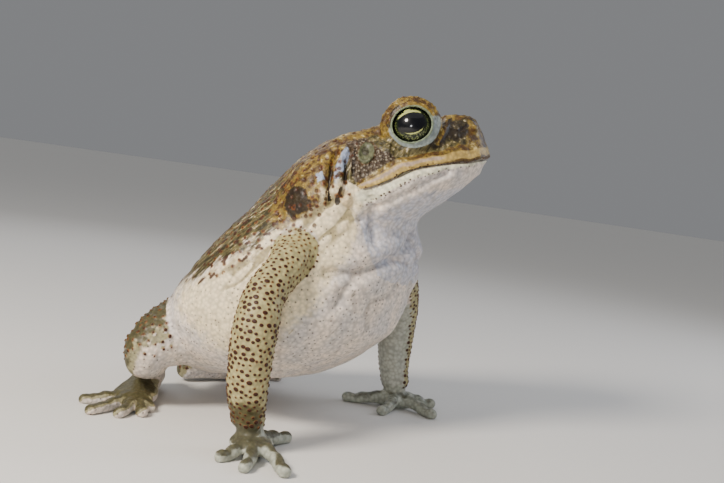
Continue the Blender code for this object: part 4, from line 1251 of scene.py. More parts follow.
    throat = 0.5 * head * ease(-at.lip, 3.0, 8.0)
    grey_spot = (1 - head) * oval(at.along, at.rise, *GREY_SPOT, 0.1 * wisp)
    blue_fold = head_masks(p, BLUE_FOLD, 1.45)
    return {
        "back": back,
        "cream": cream,
        # crease: painted shade in the bottoms of the folds of the chest, belly and lower lip
        "crease": painted_crease_shade(p),
        # painted shade, olive, in the bottoms of the cream band's thin folds
        "pleat": pleats(at),
        "ochre": ochre,
        "dark": dark,
        # blue: blue-grey of the folds behind the jaw, the throat and a grey spot, and a painted
        # highlight on the nostril's fold
        "blue": greatest([blue_fold, throat, 0.2 * nostril_fold_highlight, 0.8 * grey_spot]),
        "lid": lower_lid,
        "lid_edge": lid_edge,
        "cheek": cheek * (1 - ear),
        # gap: painted shade in the folds behind the jaw and in the nostril's slit, and the teardrop's
        # own dark brown
        "gap": greatest([painted_fold_shade(p), slit, head_masks(p, TEARDROP, 1.3)]),
        "lump": lump,
        "ear": ear,
        "ear_rim": ease(ear, 0.0, 0.2) * (1 - ease(ear, 0.5, 0.9)),
        "ear_spot": ear * oval(at.behind, at.above, *EAR_SPOT, 0.35 * wisp),
        "rough": np.clip(0.35 + 0.2 * np.maximum(back, at.leg) + 0.3 * cheek, 0, 1),
        "speckle": (1 - at.arm) * (1 - at.hand) * (1 - 0.5 * back) * (1 - 0.75 * head),
        **limb_marks(at, wave, wisp),
        **lip_marks(at, over, under, before_corner, bare),
        **wart_marks(p, marks),
    }


def flat(line):
    """A line of mm behind the snout and above the mouth, for distances in that plane."""
    return spline([(b, h, 0.0) for b, h in line], 24)


def painted_crease_shade(p):
    """Painted shade in the bottoms of the belly's and chest's creases, and of the one under the lower
    lip.
    """
    total = np.zeros(len(p))
    for side in (1, -1):
        for width, _, line in CREASES:
            line = snapped(p, [(x, -y * side, z) for x, y, z in line])
            total = np.maximum(total, 1.0 - ease(line_gap(p, line) / width, 0.2, 1.0))
    return np.maximum(total, head_masks(p, HEAD_CREASES[0][2], 0.8))


def head_masks(p, line, half):
    """A lens drawn along a line of the head, on both its sides."""
    return np.maximum(*(lens_mask(p, [head_point(b, side * o, h) for b, o, h in line], half)
                        for side in (1, -1)))


def lens_mask(p, line, half):
    """1 inside a lens drawn along a line, half mm to each side of its middle."""
    line = spline(line, 20)
    total = np.zeros(len(p))
    for spot, share in zip(line, np.linspace(-1.0, 1.0, 20)):
        radius = half * (1.0 - share ** 2) ** 0.4 + 0.05
        total = np.maximum(total, 1.0 - ease(lengths(p - spot) / radius, 0.7, 1.1))
    return total


def painted_fold_shade(p):
    """Painted shade in the bottoms of the folds between the eardrum and the shoulder."""
    lines = [(width, [head_point(b, side * out, h) for b, out, h in line])
             for side in (1, -1) for width, _, line in HEAD_CREASES[1:4]]
    return greatest([lens_mask(p, line, 1.15 * width) for width, line in lines])


def wart_tops(p, marks):
    """The brown tops of the big warts, drawn out along the back."""
    spots, _, ways = marks["big"]
    radius, stretch = marks["big_size"]
    return np.clip(2.2 * bump(p, spots, 1.15 * radius, np.ones(len(spots)), ways, stretch), 0, 1)


# ---- materials ----
def linear(code):
    """An sRGB hex code as linear red, green and blue."""
    c = np.array([int(code[i:i + 2], 16) for i in (0, 2, 4)]) / 255.0
    return tuple(float(v) for v in np.where(c <= 0.04045, c / 12.92, ((c + 0.055) / 1.055) ** 2.4))


def fill(tree, node, inputs):
    """Set a node's values and make its links."""
    for key, value in inputs.items():
        if isinstance(value, bpy.types.NodeSocket):
            tree.links.new(value, node.inputs[key])
        else:
            node.inputs[key].default_value = value


def add(tree, kind, settings, inputs, output=0):
    """Add a node with its settings, values and links, and return one of its outputs."""
    node = tree.nodes.new("ShaderNode" + kind)
    for name, value in settings.items():
        setattr(node, name, value)
    fill(tree, node, inputs)
    return node.outputs[output]


def new_material(name):
    """A material with a Principled shader, and its node tree and shader."""
    material = bpy.data.materials.new(name)
    material.use_nodes = True
    tree = material.node_tree
    return material, tree, tree.nodes["Principled BSDF"]


def rgba(colour):
    """A colour with full cover, as sockets take it."""
    return (*colour, 1.0)


# Sockets by number: a Map Range has its value, both ends from and both ends to at 0 to 4, a Math
# node its terms at 0 to 2, and a colour Mix its share at 0, its colours at 6 and 7, and its
# result at 2. An Attribute's number is at 2, and Object coordinates are at 3.
MIX = {"data_type": "RGBA"}
SMOOTH = {"interpolation_type": "SMOOTHSTEP"}
TIMES = {"operation": "MULTIPLY"}
TIMES_PLUS = {"operation": "MULTIPLY_ADD"}
NUMBER = 2
OBJECT_PLACE = 3
# the skin's layers from the lowest up: attribute, colour, how far noise frays its edge, strength
SKIN_LAYERS = (
    ("cream", "cream", 0.7, 0.85),
    # painted shade, olive, in the bottoms of the cream band's thin folds
    ("pleat", "pleat", 0.2, 0.75),
    # painted shade in the bottoms of the folds
    ("crease", "crease", 0.3, 0.28),
    ("limb", "limb", 0.5, 1.0),
    ("leg", "leg_pale", 0.7, 0.95),
    ("inner", "inner", 0.5, 0.85),
    ("ochre", "ochre", 0.9, 0.95),
    ("cheek", "cheek", 0.6, 0.95),
    ("dark", "umber_and_painted_shade", 0.9, 0.94),
    # dark olive tops of legs and hands, with painted shade on the right hand
    ("dusk", "dusk", 0.9, 0.9),
    ("blue", "blue", 0.4, 0.85),
    ("lid", "lid", 0.4, 0.9),
    ("lid_edge", "lid_edge", 0.2, 0.9),
    ("pale_lip", "pale_lip", 0.3, 0.95),
    ("lip", "lip", 0.5, 0.9),
    # pinkish middle of the upper lip, partly painted highlight on its roll
    ("lilac", "lilac", 0.5, 0.75),
    ("lip_brown", "ochre_brown", 1.3, 0.85),
    ("ear", "ear", 0.3, 0.95),
    ("ear_spot", "umber_and_painted_shade", 0.8, 0.7),
    ("ear_rim", "ochre_brown", 0.5, 0.75),
    # painted shade in the folds behind the jaw and the nostril's slit, and the teardrop's own dark
    # brown
    ("gap", "umber_and_painted_shade", 0.6, 0.97),
    ("lump", "lump", 0.5, 0.85),
    ("halo", "halo", 0.5, 0.8),
    ("ring_spot", "rust", 0.3, 0.95),
    ("ring_heart", "tip", 0.2, 0.95),
    ("pore", "pore", 0.4, 0.85),
    ("wart", "wart", 0.6, 0.95),
    # pale tips of the crown's warts, partly painted highlight
    ("pearl", "pearl", 0.3, 0.6),
    # painted shade along the groove between the lips
    ("mouth", "mouth", 0.3, 0.75),
)
BLOTCH = 2.4 * MM         # from one brown blotch of the ochre skin to the next
LIP_DOT = 0.95 * MM       # from one brown dot of the mouth's edges to the next
CHEEK_GRANULE = 0.9 * MM  # width of the cheek's granules
GRANULE = 1.05 * MM       # width of the skin's small warts, the finest that still show
SPECKLE = 1.32 * MM       # from one dark dot of the belly to the next
GRAIN = 0.35 * MM         # the skin's own grain, which is finer: drawn this coarse to show
STREAK = 1.0 * MM         # width of the lengthwise streaks of the back
STREAK_LENGTH = 7.0       # and how many times longer they are
FRAY = 0.55 / MM          # noise that frays the markings' edges, 1.8 mm a lump
TINT = 0.14 / MM          # noise between cool and warm belly skin, 7 mm a lump


def skin_material(colours):
    """Living toad skin, moist and granular: warm pale skin that shows some light through it,
    streaked olive on the back, under a thin film of moisture that gives small soft highlights."""
    material, tree, shader = new_material("moist_granular_toad_skin")
    here = add(tree, "TexCoord", {}, {}, OBJECT_PLACE)
    turned = add(tree, "Mapping", {"vector_type": "TEXTURE"},
                 {0: here, 2: (0.0, math.radians(-BACK_SLANT), 0.0), 3: (STREAK_LENGTH, 1.0, 1.0)})
    fray = add(tree, "TexNoise", {}, {"Vector": here, "Scale": FRAY, "Detail": 3.0})
    fray = add(tree, "Math", {"operation": "SUBTRACT"}, {0: fray, 1: 0.5})
    tint = add(tree, "TexNoise", {}, {"Vector": here, "Scale": TINT, "Detail": 2.0})
    streak = add(tree, "TexNoise", {},
                 {"Vector": turned, "Scale": 1 / STREAK, "Detail": 3.0, "Roughness": 0.6})
    granule = add(tree, "TexVoronoi", {"feature": "SMOOTH_F1"},
                  {"Vector": here, "Scale": 1 / GRANULE, "Smoothness": 0.5})
    # base: belly skin, cooler and warmer by turns
    tint = add(tree, "MapRange", {}, {0: tint, 1: 0.35, 2: 0.65})
    base = add(tree, "Mix", MIX,
               {0: tint, 6: rgba(colours.belly_cool), 7: rgba(colours.belly_warm)}, 2)
    # olive back: dark, olive and cream streaks
    ramp_dark = add(tree, "MapRange", SMOOTH, {0: streak, 1: 0.38, 2: 0.52})
    ramp_cream = add(tree, "MapRange", SMOOTH, {0: streak, 1: 0.55, 2: 0.68})
    olive = add(tree, "Mix", MIX,
                {0: ramp_dark, 6: rgba(colours.back_dark), 7: rgba(colours.back)}, 2)
    olive = add(tree, "Mix", MIX, {0: ramp_cream, 6: olive, 7: rgba(colours.back_streak)}, 2)
    back = add(tree, "Attribute", {"attribute_name": "back"}, {}, NUMBER)
    lined = add(tree, "Math", TIMES_PLUS, {0: streak, 1: -2.2, 2: 1.1})
    lined = add(tree, "Math", {"operation": "ADD"}, {0: lined, 1: back})
    back = add(tree, "Math", TIMES_PLUS, {0: fray, 1: 0.8, 2: lined})
    back = add(tree, "MapRange", SMOOTH, {0: back, 1: 0.2, 2: 0.8})
    base = add(tree, "Mix", MIX, {0: back, 6: base, 7: olive}, 2)
    # ochre in three tones: yellow-olive, red-brown blotches and pale flecks
    blotch = add(tree, "TexNoise", {},
                 {"Vector": here, "Scale": 1 / BLOTCH, "Detail": 4.0, "Roughness": 0.65})
    brown = add(tree, "MapRange", SMOOTH, {0: blotch, 1: 0.46, 2: 0.58})
    pale = add(tree, "MapRange", SMOOTH, {0: blotch, 1: 0.42, 2: 0.34})
    ochre = add(tree, "Mix", MIX, {0: brown, 6: rgba(colours.ochre), 7: rgba(colours.ochre_brown)}, 2)
    ochre = add(tree, "Mix", MIX, {0: pale, 6: ochre, 7: rgba(colours.ochre_pale)}, 2)
    for mark, colour, ragged, strength in SKIN_LAYERS:
        tone = ochre if mark == "ochre" else rgba(getattr(colours, colour))
        mask = add(tree, "Attribute", {"attribute_name": mark}, {}, NUMBER)
        mask = add(tree, "Math", TIMES_PLUS, {0: fray, 1: ragged, 2: mask})
        mask = add(tree, "MapRange", SMOOTH, {0: mask, 1: 0.25, 2: 0.75, 4: strength})
        base = add(tree, "Mix", MIX, {0: mask, 6: base, 7: tone}, 2)
    # pale tips of the cheek's fine granules: partly their own colour, partly painted highlight
    tips = add(tree, "TexVoronoi", {}, {"Vector": here, "Scale": 1 / CHEEK_GRANULE})
    pale = add(tree, "MapRange", SMOOTH, {0: tips, 1: 0.44, 2: 0.2, 4: 0.75})
    cheek = add(tree, "Attribute", {"attribute_name": "cheek"}, {}, NUMBER)
    pale = add(tree, "Math", TIMES, {0: pale, 1: cheek})
    base = add(tree, "Mix", MIX, {0: pale, 6: base, 7: rgba(colours.pearl)}, 2)
    # brown dots along both edges of the mouth
    edge = add(tree, "TexVoronoi", {}, {"Vector": here, "Scale": 1 / LIP_DOT})
    edge = add(tree, "MapRange", SMOOTH, {0: edge, 1: 0.42, 2: 0.24})
    mask = add(tree, "Attribute", {"attribute_name": "lip_edge"}, {}, NUMBER)
    edge = add(tree, "Math", TIMES, {0: edge, 1: mask})
    base = add(tree, "Mix", MIX, {0: edge, 6: base, 7: rgba(colours.wart)}, 2)
    # the belly's small dark dots, one to a cell
    dot = add(tree, "TexVoronoi", {}, {"Vector": here, "Scale": 1 / SPECKLE, "Randomness": 0.7})
    dot = add(tree, "MapRange", SMOOTH, {0: dot, 1: 0.25, 2: 0.12})
    speckle = add(tree, "Attribute", {"attribute_name": "speckle"}, {}, NUMBER)
    dot = add(tree, "Math", TIMES, {0: dot, 1: speckle})
    dot = add(tree, "Math", TIMES, {0: dot, 1: 0.8})
    base = add(tree, "Mix", MIX, {0: dot, 6: base, 7: rgba(colours.speckle)}, 2)
    # painted shade and light: darker in the hollows between the grains and a little lighter on their
    # tops
    painted_grain_shade = add(tree, "MapRange", {}, {0: granule, 1: 0.25, 2: 0.75, 3: 1.12, 4: 0.72})
    base = add(tree, "Mix", {"data_type": "RGBA", "blend_type": "MULTIPLY"},
               {0: 1.0, 6: base, 7: painted_grain_shade}, 2)
    grain = add(tree, "TexNoise", {}, {"Vector": here, "Scale": 1 / GRAIN, "Detail": 2.0})
    rough = add(tree, "MapRange", {}, {0: grain, 1: 0.3, 2: 0.7, 3: 0.42, 4: 0.62})
    height = add(tree, "Math", TIMES_PLUS, {0: granule, 1: -1.0, 2: 1.0})
    height = add(tree, "Math", TIMES_PLUS, {0: grain, 1: 0.3, 2: height})
    tips = add(tree, "Math", TIMES, {0: tips, 1: cheek})
    height = add(tree, "Math", TIMES_PLUS, {0: tips, 1: -1.3, 2: height})
    coarse = add(tree, "Attribute", {"attribute_name": "rough"}, {}, NUMBER)
    normal = add(tree, "Bump", {}, {"Strength": coarse, "Distance": 0.35 * MM, "Height": height})
    fill(tree, shader, {"Base Color": base, "Roughness": rough, "Normal": normal, "IOR": 1.4,
                        "Specular IOR Level": 0.4, "Coat Weight": 0.14, "Coat Roughness": 0.3,
                        "Subsurface Weight": 0.1, "Subsurface Radius": (1.0, 0.55, 0.35),
                        "Subsurface Scale": 1.2 * MM})
    return material


HORN_MOTTLE = 1.1 / MM    # paler and darker horn, 0.9 mm a lump


def horn_material(colours):
    """Keratin caps of the warts: hard, dark red-brown and worn half matt, paler where they join."""
    material, tree, shader = new_material("keratin_wart_caps")
    here = add(tree, "TexCoord", {}, {}, OBJECT_PLACE)
    height = add(tree, "Attribute", {"attribute_name": "height"}, {}, NUMBER)
    mottle = add(tree, "TexNoise", {}, {"Vector": here, "Scale": HORN_MOTTLE, "Detail": 2.0})
    height = add(tree, "Math", TIMES_PLUS, {0: mottle, 1: 0.7, 2: height})
    height = add(tree, "MapRange", SMOOTH, {0: height, 1: 0.35, 2: 0.95})
    base = add(tree, "Mix", MIX, {0: height, 6: rgba(colours.halo), 7: rgba(colours.tip)}, 2)
    rough = add(tree, "MapRange", {}, {0: mottle, 1: 0.3, 2: 0.7, 3: 0.42, 4: 0.6})
    normal = add(tree, "Bump", {}, {"Strength": 0.3, "Distance": 0.1 * MM, "Height": mottle})
    fill(tree, shader, {"Base Color": base, "Roughness": rough, "Normal": normal, "IOR": 1.5,
                        "Specular IOR Level": 0.3})
    return material


# the iris's layers from the lowest up: attribute, colour, how far flecks fray it, where the
# layer starts to show, strength
EYE_LAYERS = (
    ("fleck", "iris_fleck", 1.9, 0.62, 0.85),
    ("lower_fleck", "iris_silver", 2.4, 0.72, 0.85),
    ("gold", "iris_gold", 1.7, 0.5, 1.0),
    ("pupil", "pupil", 0.0, 0.5, 1.0),
    ("ring", "iris_dark", 0.0, 0.5, 1.0),
)


IRIS_FLECK = 2.4 / MM     # noise of the iris's flecks, 0.4 mm a lump
IRIS_MOTTLE = 0.8 / MM    # and of its lighter and darker parts, 1.3 mm a lump


def eye_material(colours):
    """A living eye under its clear wet cornea: a nearly black iris with gold and silver-green
    flecks, and a film as smooth as water that mirrors the lights."""
    material, tree, shader = new_material("wet_cornea_over_flecked_iris")
    here = add(tree, "TexCoord", {}, {}, OBJECT_PLACE)
    fleck = add(tree, "TexNoise", {},
                {"Vector": here, "Scale": IRIS_FLECK, "Detail": 3.0, "Roughness": 0.65})
    fleck = add(tree, "Math", {"operation": "SUBTRACT"}, {0: fleck, 1: 0.5})
    mottle = add(tree, "TexNoise", {}, {"Vector": here, "Scale": IRIS_MOTTLE, "Detail": 3.0})
    mottle = add(tree, "MapRange", {}, {0: mottle, 1: 0.4, 2: 0.65})
    base = add(tree, "Mix", MIX, {0: mottle, 6: rgba(colours.iris_dark), 7: rgba(colours.iris)}, 2)
    for mark, colour, ragged, middle, strength in EYE_LAYERS:
        mask = add(tree, "Attribute", {"attribute_name": mark}, {}, NUMBER)
        mask = add(tree, "Math", TIMES_PLUS, {0: fleck, 1: ragged, 2: mask})
        mask = add(tree, "MapRange", SMOOTH,
                   {0: mask, 1: middle - 0.15, 2: middle + 0.15, 4: strength})
        base = add(tree, "Mix", MIX, {0: mask, 6: base, 7: rgba(getattr(colours, colour))}, 2)
    fill(tree, shader, {"Base Color": base, "Roughness": 0.35, "IOR": 1.38,
                        "Specular IOR Level": 0.15, "Coat Weight": 0.7, "Coat Roughness": 0.02})
    return material


PAPER_TOOTH = 2.5 * MM    # real paper's is finer: drawn this coarse to show


def floor_material(colours):
    """Matt studio paper: pale, even, with the faintest tooth."""
    material, tree, shader = new_material("matt_studio_paper")
    here = add(tree, "TexCoord", {}, {}, OBJECT_PLACE)
    tooth = add(tree, "TexNoise", {}, {"Vector": here, "Scale": 1 / PAPER_TOOTH, "Detail": 2.0})
    light = tuple(min(1.0, 1.03 * c) for c in colours.floor)
    base = add(tree, "Mix", MIX, {0: tooth, 6: rgba(colours.floor), 7: rgba(light)}, 2)
    fill(tree, shader, {"Base Color": base, "Roughness": 0.9})
    return material


# ---- pieces ----
def shift_to_frame():
    """The frame's origin against the toad's own, from the right eye's place in both."""
    low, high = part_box("eye_right")
    centre = eye_frame(-1)[0]
    return (np.array(low) + np.array(high)) / 2 / MM - centre


SHIFT = shift_to_frame()


def place(points):
    """From the toad's mm to the frame's metres."""
    return (np.asarray(points) + SHIFT) * MM


def fill_faces(mesh, faces):
    """Give a mesh its faces, all with the same count of corners."""
    mesh.loops.add(faces.size)
    mesh.loops.foreach_set("vertex_index", faces.astype(np.int32).ravel())
    mesh.polygons.add(len(faces))
    mesh.polygons.foreach_set("loop_start", np.arange(0, faces.size, faces.shape[1], dtype=np.int32))
    mesh.update(calc_edges=True)


def new_piece(name, points, faces, material, attributes=None):
    """A smooth mesh object from points in mm and faces of equal counts, with float attributes."""
    mesh = bpy.data.meshes.new(name)
    mesh.vertices.add(len(points))
    mesh.vertices.foreach_set("co", place(points).astype(np.float32).ravel())
    fill_faces(mesh, faces)
    mesh.shade_smooth()
    for key, values in (attributes or {}).items():
        attribute = mesh.attributes.new(key, "FLOAT", "POINT")
        attribute.data.foreach_set("value", np.clip(values, 0, 1).astype(np.float32))
    obj = bpy.data.objects.new(name, mesh)
    bpy.context.scene.collection.objects.link(obj)
    mesh.materials.append(material)
    return obj


def unwrapped(at):
    """Where each point lies on an unwrap of the skin: the trunk and head fill the lower part by
    their turn and share along, and each arm and leg has a patch of its own above it."""
    p = at.points
    u = 0.02 + 0.96 * (at.turn + 180.0) / 360.0
    v = 0.02 + 0.58 * np.clip(at.along / 2.2, 0, 1)
    around = np.arctan2(p[:, 1] - 40 * at.flank, p[:, 0] + 4.0) / (2 * np.pi) + 0.5
    column = np.where(at.flank > 0, 0.0, 0.25)
    arm = at.arm > 0.5
    u = np.where(arm, column + 0.02 + 0.21 * around, u)
    v = np.where(arm, 0.64 + 0.34 * at.arm_share, v)
    leg = at.leg > 0.5
    u = np.where(leg, column + 0.52 + 0.21 * np.clip((p[:, 2] + 2) / 40, 0, 1), u)
    v = np.where(leg, 0.64 + 0.34 * np.clip((p[:, 0] + 66) / 40, 0, 1), v)
    return np.stack([u, v], 1)


CAP_RINGS = ((-0.9, 0.8), (0.0, 1.0), (0.6, 0.78), (0.92, 0.4))      # height, radius
CAP_SIDES = 8
ARM_CAP = (0.1, 1.3)      # height in mm, and how much longer than wide
LEG_CAP = (0.12, 1.1)
LEG_TIP_RADIUS = 0.32
PATCH = 0.003             # a cap's width on the unwrap


def caps(spots, normals, radii, heights, ways, stretch):
    """Points and triangles of many wart caps: each a turned profile of four rings with a point
    at its foot and at its top, as wide and high as given and drawn out along its way."""
    a = round_angles(CAP_SIDES)
    ring = np.stack([np.cos(a), np.sin(a)], 1)
    shape = [(0.0, 0.0, CAP_RINGS[0][0])]
    for height, radius in CAP_RINGS:
        shape += [(radius * x, radius * y, height) for x, y in ring]
    shape.append((0.0, 0.0, 1.0))
    shape = np.array(shape)
    way = unit(ways - normals * np.sum(ways * normals, 1)[:, None])
    across = np.cross(normals, way)
    points = (spots[:, None]
              + (shape[:, 0] * (radii * stretch)[:, None])[..., None] * way[:, None]
              + (shape[:, 1] * radii[:, None])[..., None] * across[:, None]
              + (shape[:, 2] * heights[:, None])[..., None] * normals[:, None])
    faces = []
    for j in range(CAP_SIDES):
        k = (j + 1) % CAP_SIDES
        faces.append((0, 1 + k, 1 + j))
        for row in range(len(CAP_RINGS) - 1):
            low, high = 1 + row * CAP_SIDES, 1 + (row + 1) * CAP_SIDES
            faces += [(low + j, low + k, high + k), (low + j, high + k, high + j)]
        top = 1 + (len(CAP_RINGS) - 1) * CAP_SIDES
        faces.append((top + j, top + k, len(shape) - 1))
    faces = np.array(faces)
    every = faces[None] + (np.arange(len(spots)) * len(shape))[:, None, None]
    return points.reshape(-1, 3), every.reshape(-1, 3), shape


def build_skin():
    """The skin, coloured by its markings, in place of every solid but the eyes."""
    colours = bpy.context.scene.toad_colours
    points, faces, marks = dressed_body(body_step())
    at = Places(points, vertex_normals(points, faces))
    obj = new_piece("toad_skin", points, faces, skin_material(colours), markings(at, marks))
    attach(obj, "root")
    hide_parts(*[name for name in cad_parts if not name.startswith("eye_")])


def build_caps():
    """A horny cap on each wart of the arms and legs, with a small patch each on the unwrap."""
    sizes, colours = bpy.context.scene.toad_sizes, bpy.context.scene.toad_colours
    marks = dressed_body(body_step())[2]
    rng = np.random.default_rng(9)
    parts = []
    for kind, radius, height, stretch in (("arm", sizes.tip_radius / MM, *ARM_CAP),
                                          ("leg", LEG_TIP_RADIUS, *LEG_CAP)):
        spots, normals, ways = marks[kind]
        size = radius * rng.uniform(0.62, 1.3, len(spots)) ** 1.5
        if kind == "arm":
            # smaller towards the shoulder, and drawn out across the arm
            size *= 0.6 + 0.4 * ease(Places(spots, normals).arm_share, 0.22, 0.45)
            ways = np.cross(normals, (0.1, 0.1, 1.0))
        parts.append((spots, normals, size, height * np.sqrt(size / radius), ways,
                      np.full(len(spots), stretch)))
    spots, normals, radii, heights, ways, stretch = (np.concatenate(v) for v in zip(*parts))
    raised = spots + normals * 0.02
    points, faces, shape = caps(raised, normals, radii, heights, ways, stretch)
    height = np.tile(np.clip(shape[:, 2], 0, 1), len(spots))
    obj = new_piece("wart_caps", points, faces, horn_material(colours), {"height": height})
    roots = unwrapped(Places(spots, normals))
    flat = roots[:, None] + shape[None, :, :2] * PATCH / 2
    layer = obj.data.uv_layers.new(name="OFBake")
    layer.data.foreach_set("uv", flat.reshape(-1, 2)[faces.ravel()].astype(np.float32).ravel())
    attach(obj, "root")


EYE_RINGS = 90
EYE_AROUND = 128
CORNEA_RISE = 0.35        # how far the cornea bulges past the ball
PUPIL = (3.75, 2.75)      # half length and half height
PUPIL_RISE = 0.35         # its middle above the eye's


def eye_marks(x, y):
    """The iris's parts from mm ahead of and above its middle: an oval pupil, a gold crescent over
    and a thin one under it, flecked round both, and a dark outer ring."""
    over = y - PUPIL_RISE
    oval_share = (np.abs(x / PUPIL[0]) ** 2.2 + np.abs(over / PUPIL[1]) ** 2.2) ** (1 / 2.2)
    edge = PUPIL[1] * np.sqrt(np.clip(1 - (x / (PUPIL[0] * 1.2)) ** 2, 0, 1))
    narrow = np.clip(1 - (x / 3.3) ** 2, 0, 1)
    upper = band(over, edge + 0.1 + 0.14 * narrow, 0.26 + 0.36 * narrow) * ease(narrow, 0.0, 0.2)
    crest = 0.8 * band(over, edge + 0.75, 0.75) * (1 - ease(np.abs(x + 0.2), 0.5, 1.3))
    under = 2.85 * np.sqrt(np.clip(1 - ((x + 0.2) / 3.35) ** 2, 0, 1))
    lower = band(-over, under + 0.1 * x + 0.1, 0.3) * (1 - ease(np.abs(x + 0.2), 2.7, 3.3))
    rim = np.hypot(x / EYE_APERTURE[0], y / EYE_APERTURE[1])
    inside = 1 - ease(rim, 0.84, 0.97)
    return {
        "ring": ease(rim, 0.86, 0.95),
        "fleck": 0.5 * ease(oval_share, 1.0, 1.12) * inside,
        "lower_fleck": 0.62 * ease(-over, 2.4, 2.9) * inside,
        "gold": greatest([upper, crest, 0.9 * lower]),
        "pupil": 1 - ease(oval_share, 0.94, 1.02),
    }


def build_eyes():
    """Each eyeball as rings of a ball round its outward axis, closer to each other in front, with
    the cornea raised by the square of how near a ring is to the axis."""
    colours = bpy.context.scene.toad_colours
    material = eye_material(colours)
    for side, name in ((1, "left"), (-1, "right")):
        centre, out, along, up = eye_frame(side)
        tilt = np.pi * np.linspace(0.0, 1.0, EYE_RINGS) ** 1.7
        tilt = tilt[1:-1]
        a = round_angles(EYE_AROUND)
        rise = CORNEA_RISE * np.clip(1 - (tilt / math.radians(52)) ** 2, 0, 1) ** 2
        radius = (EYE_RADIUS - 0.04 + rise)[:, None, None]
        ring = np.cos(a)[None, :, None] * along + np.sin(a)[None, :, None] * up
        rings = centre + radius * (np.cos(tilt)[:, None, None] * out
                                   + np.sin(tilt)[:, None, None] * ring)
        points, quads, ends = closed_mesh(rings)
        faces = all_triangles(quads, ends)
        away = points - centre
        # where the outward directions point to the middle, all faces are turned over
        if np.sum(vertex_normals(points, faces) * away) < 0:
            faces = faces[:, ::-1]
        marks = eye_marks(away @ along, away @ up)
        back = away @ out < 0
        marks = {key: np.where(back, 0.0, value) for key, value in marks.items()}
        obj = new_piece("eyeball_" + name, points, faces, material, marks)
        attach(obj, "root")
        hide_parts("eye_" + name)


# ---- stage ----
CAMERA_AT = (114.977, -261.6, 72.479)
CAMERA_WAY = (-0.40173, 0.91355, -0.06363)
CAMERA_ROLL = 8.23        # degrees, anticlockwise
CAMERA_LENS = 49.97
FLOOR_RADIUS = 6000.0
# soft round lights: place and aim in the toad's mm, width in mm, watts, colour
LIGHTS = (
    ("key_light", (-110.0, -400.0, 320.0), (-5.0, -10.0, 45.0), 130.0, 4.0, "FFF5E8"),
    ("front_light", (150.0, -400.0, 100.0), (0.0, -10.0, 50.0), 70.0, 0.4, "FFFFFF"),
    ("fill_light", (300.0, 330.0, 260.0), (0.0, 0.0, 40.0), 300.0, 0.9, "EEF3FF"),
    ("rim_light", (-340.0, 300.0, 340.0), (0.0, 0.0, 50.0), 320.0, 0.4, "F4F7FF"),
)
SKY = 0.28                # brightness of the light from all round
TOP_LIGHT = 0.52          # watts to the square metre straight down, which evens the far floor


def turned_to(at, aim, roll=0.0):
    """The matrix of a camera or light at a place, facing another, rolled anticlockwise."""
    way = unit(np.asarray(aim, float) - np.asarray(at, float))
    right = unit(np.cross(way, (0.0, 0.0, 1.0)))
    up = np.cross(right, way)
    b = math.radians(roll)
    matrix = np.eye(4)
    matrix[:3, 0] = right * math.cos(b) + up * math.sin(b)
    matrix[:3, 1] = up * math.cos(b) - right * math.sin(b)
    matrix[:3, 2] = -way
    matrix[:3, 3] = place(at)
    return Matrix(matrix.tolist())


def build_stage():
    """The floor as a thin round slab, the lamps, the camera and the light from all round."""
    scene = bpy.context.scene
    colours = scene.toad_colours
    share = np.linspace(0.02, 1.0, 24)[:, None, None]
    a = round_angles(96)
    ring = np.stack([np.cos(a), np.sin(a), np.zeros(len(a))], -1)[None] * FLOOR_RADIUS
    under = np.array([0.0, 0.0, -6.0])
    rings = np.concatenate([ring * share, ring * share[::-1] + under])
    points, quads, ends = closed_mesh(rings)
    floor = new_piece("floor", points, all_triangles(quads, ends)[:, ::-1], floor_material(colours))
    for name, at, aim, width, watts, colour in LIGHTS:
        light = bpy.data.lights.new(name, "AREA")
        light.shape = "DISK"
        light.size = width * MM
        light.energy = watts * scene.toad_sizes.light
        light.color = linear(colour)
        obj = bpy.data.objects.new(name, light)
        obj.matrix_world = turned_to(at, aim)
        scene.collection.objects.link(obj)
    camera = bpy.data.cameras.new("camera")
    camera.lens = CAMERA_LENS
    camera.clip_start = 0.01
    obj = bpy.data.objects.new("camera", camera)
    obj.matrix_world = turned_to(CAMERA_AT, np.add(CAMERA_AT, CAMERA_WAY), CAMERA_ROLL)
    scene.collection.objects.link(obj)
    scene.camera = obj
    sun = bpy.data.lights.new("top_light", "SUN")
    sun.energy = TOP_LIGHT * scene.toad_sizes.light
    sun.angle = math.radians(80.0)
    scene.collection.objects.link(bpy.data.objects.new("top_light", sun))
    world = bpy.data.worlds.new("studio")
    world.use_nodes = True
    background = world.node_tree.nodes["Background"]
    background.inputs["Color"].default_value = rgba(colours.surround)
    background.inputs["Strength"].default_value = SKY * scene.toad_sizes.light
    scene.world = world


def body_step():
    """The step of the skin's lattice, mm."""
    sizes = bpy.context.scene.toad_sizes
    return (sizes.step) / MM


# ---- the add-on ----
def colour(name, description, code):
    """A colour that the user may change, from its hex code."""
    return FloatVectorProperty(name=name, description=description, default=linear(code),
                               subtype="COLOR", min=0.0, max=1.0)


def length(name, description, default):
    """A length that the user may change, from its mm."""
    return FloatProperty(name=name, description=description, default=default * MM,
                         min=0.01 * MM, unit="LENGTH", precision=5)


class ToadSizes(bpy.types.PropertyGroup):
    """Sizes of the skin's warts, and the strength of the lights."""
    step: length("Lattice step", "Step of the lattice that the skin is drawn from", 0.36)
    quick_step: length("Quick lattice step", "The same for a quick look", 0.5)
    wart_spacing: length("Wart spacing", "Least distance between the big warts of the back", 3.4)
    tip_spacing: length("Arm tip spacing", "Least distance between the arms' horny tips", 1.25)
    tip_radius: length("Arm tip radius", "Mean radius of the arms' horny tips", 0.42)
    light: FloatProperty(name="Light", description="Strength of all lamps", default=1.0, min=0.0)


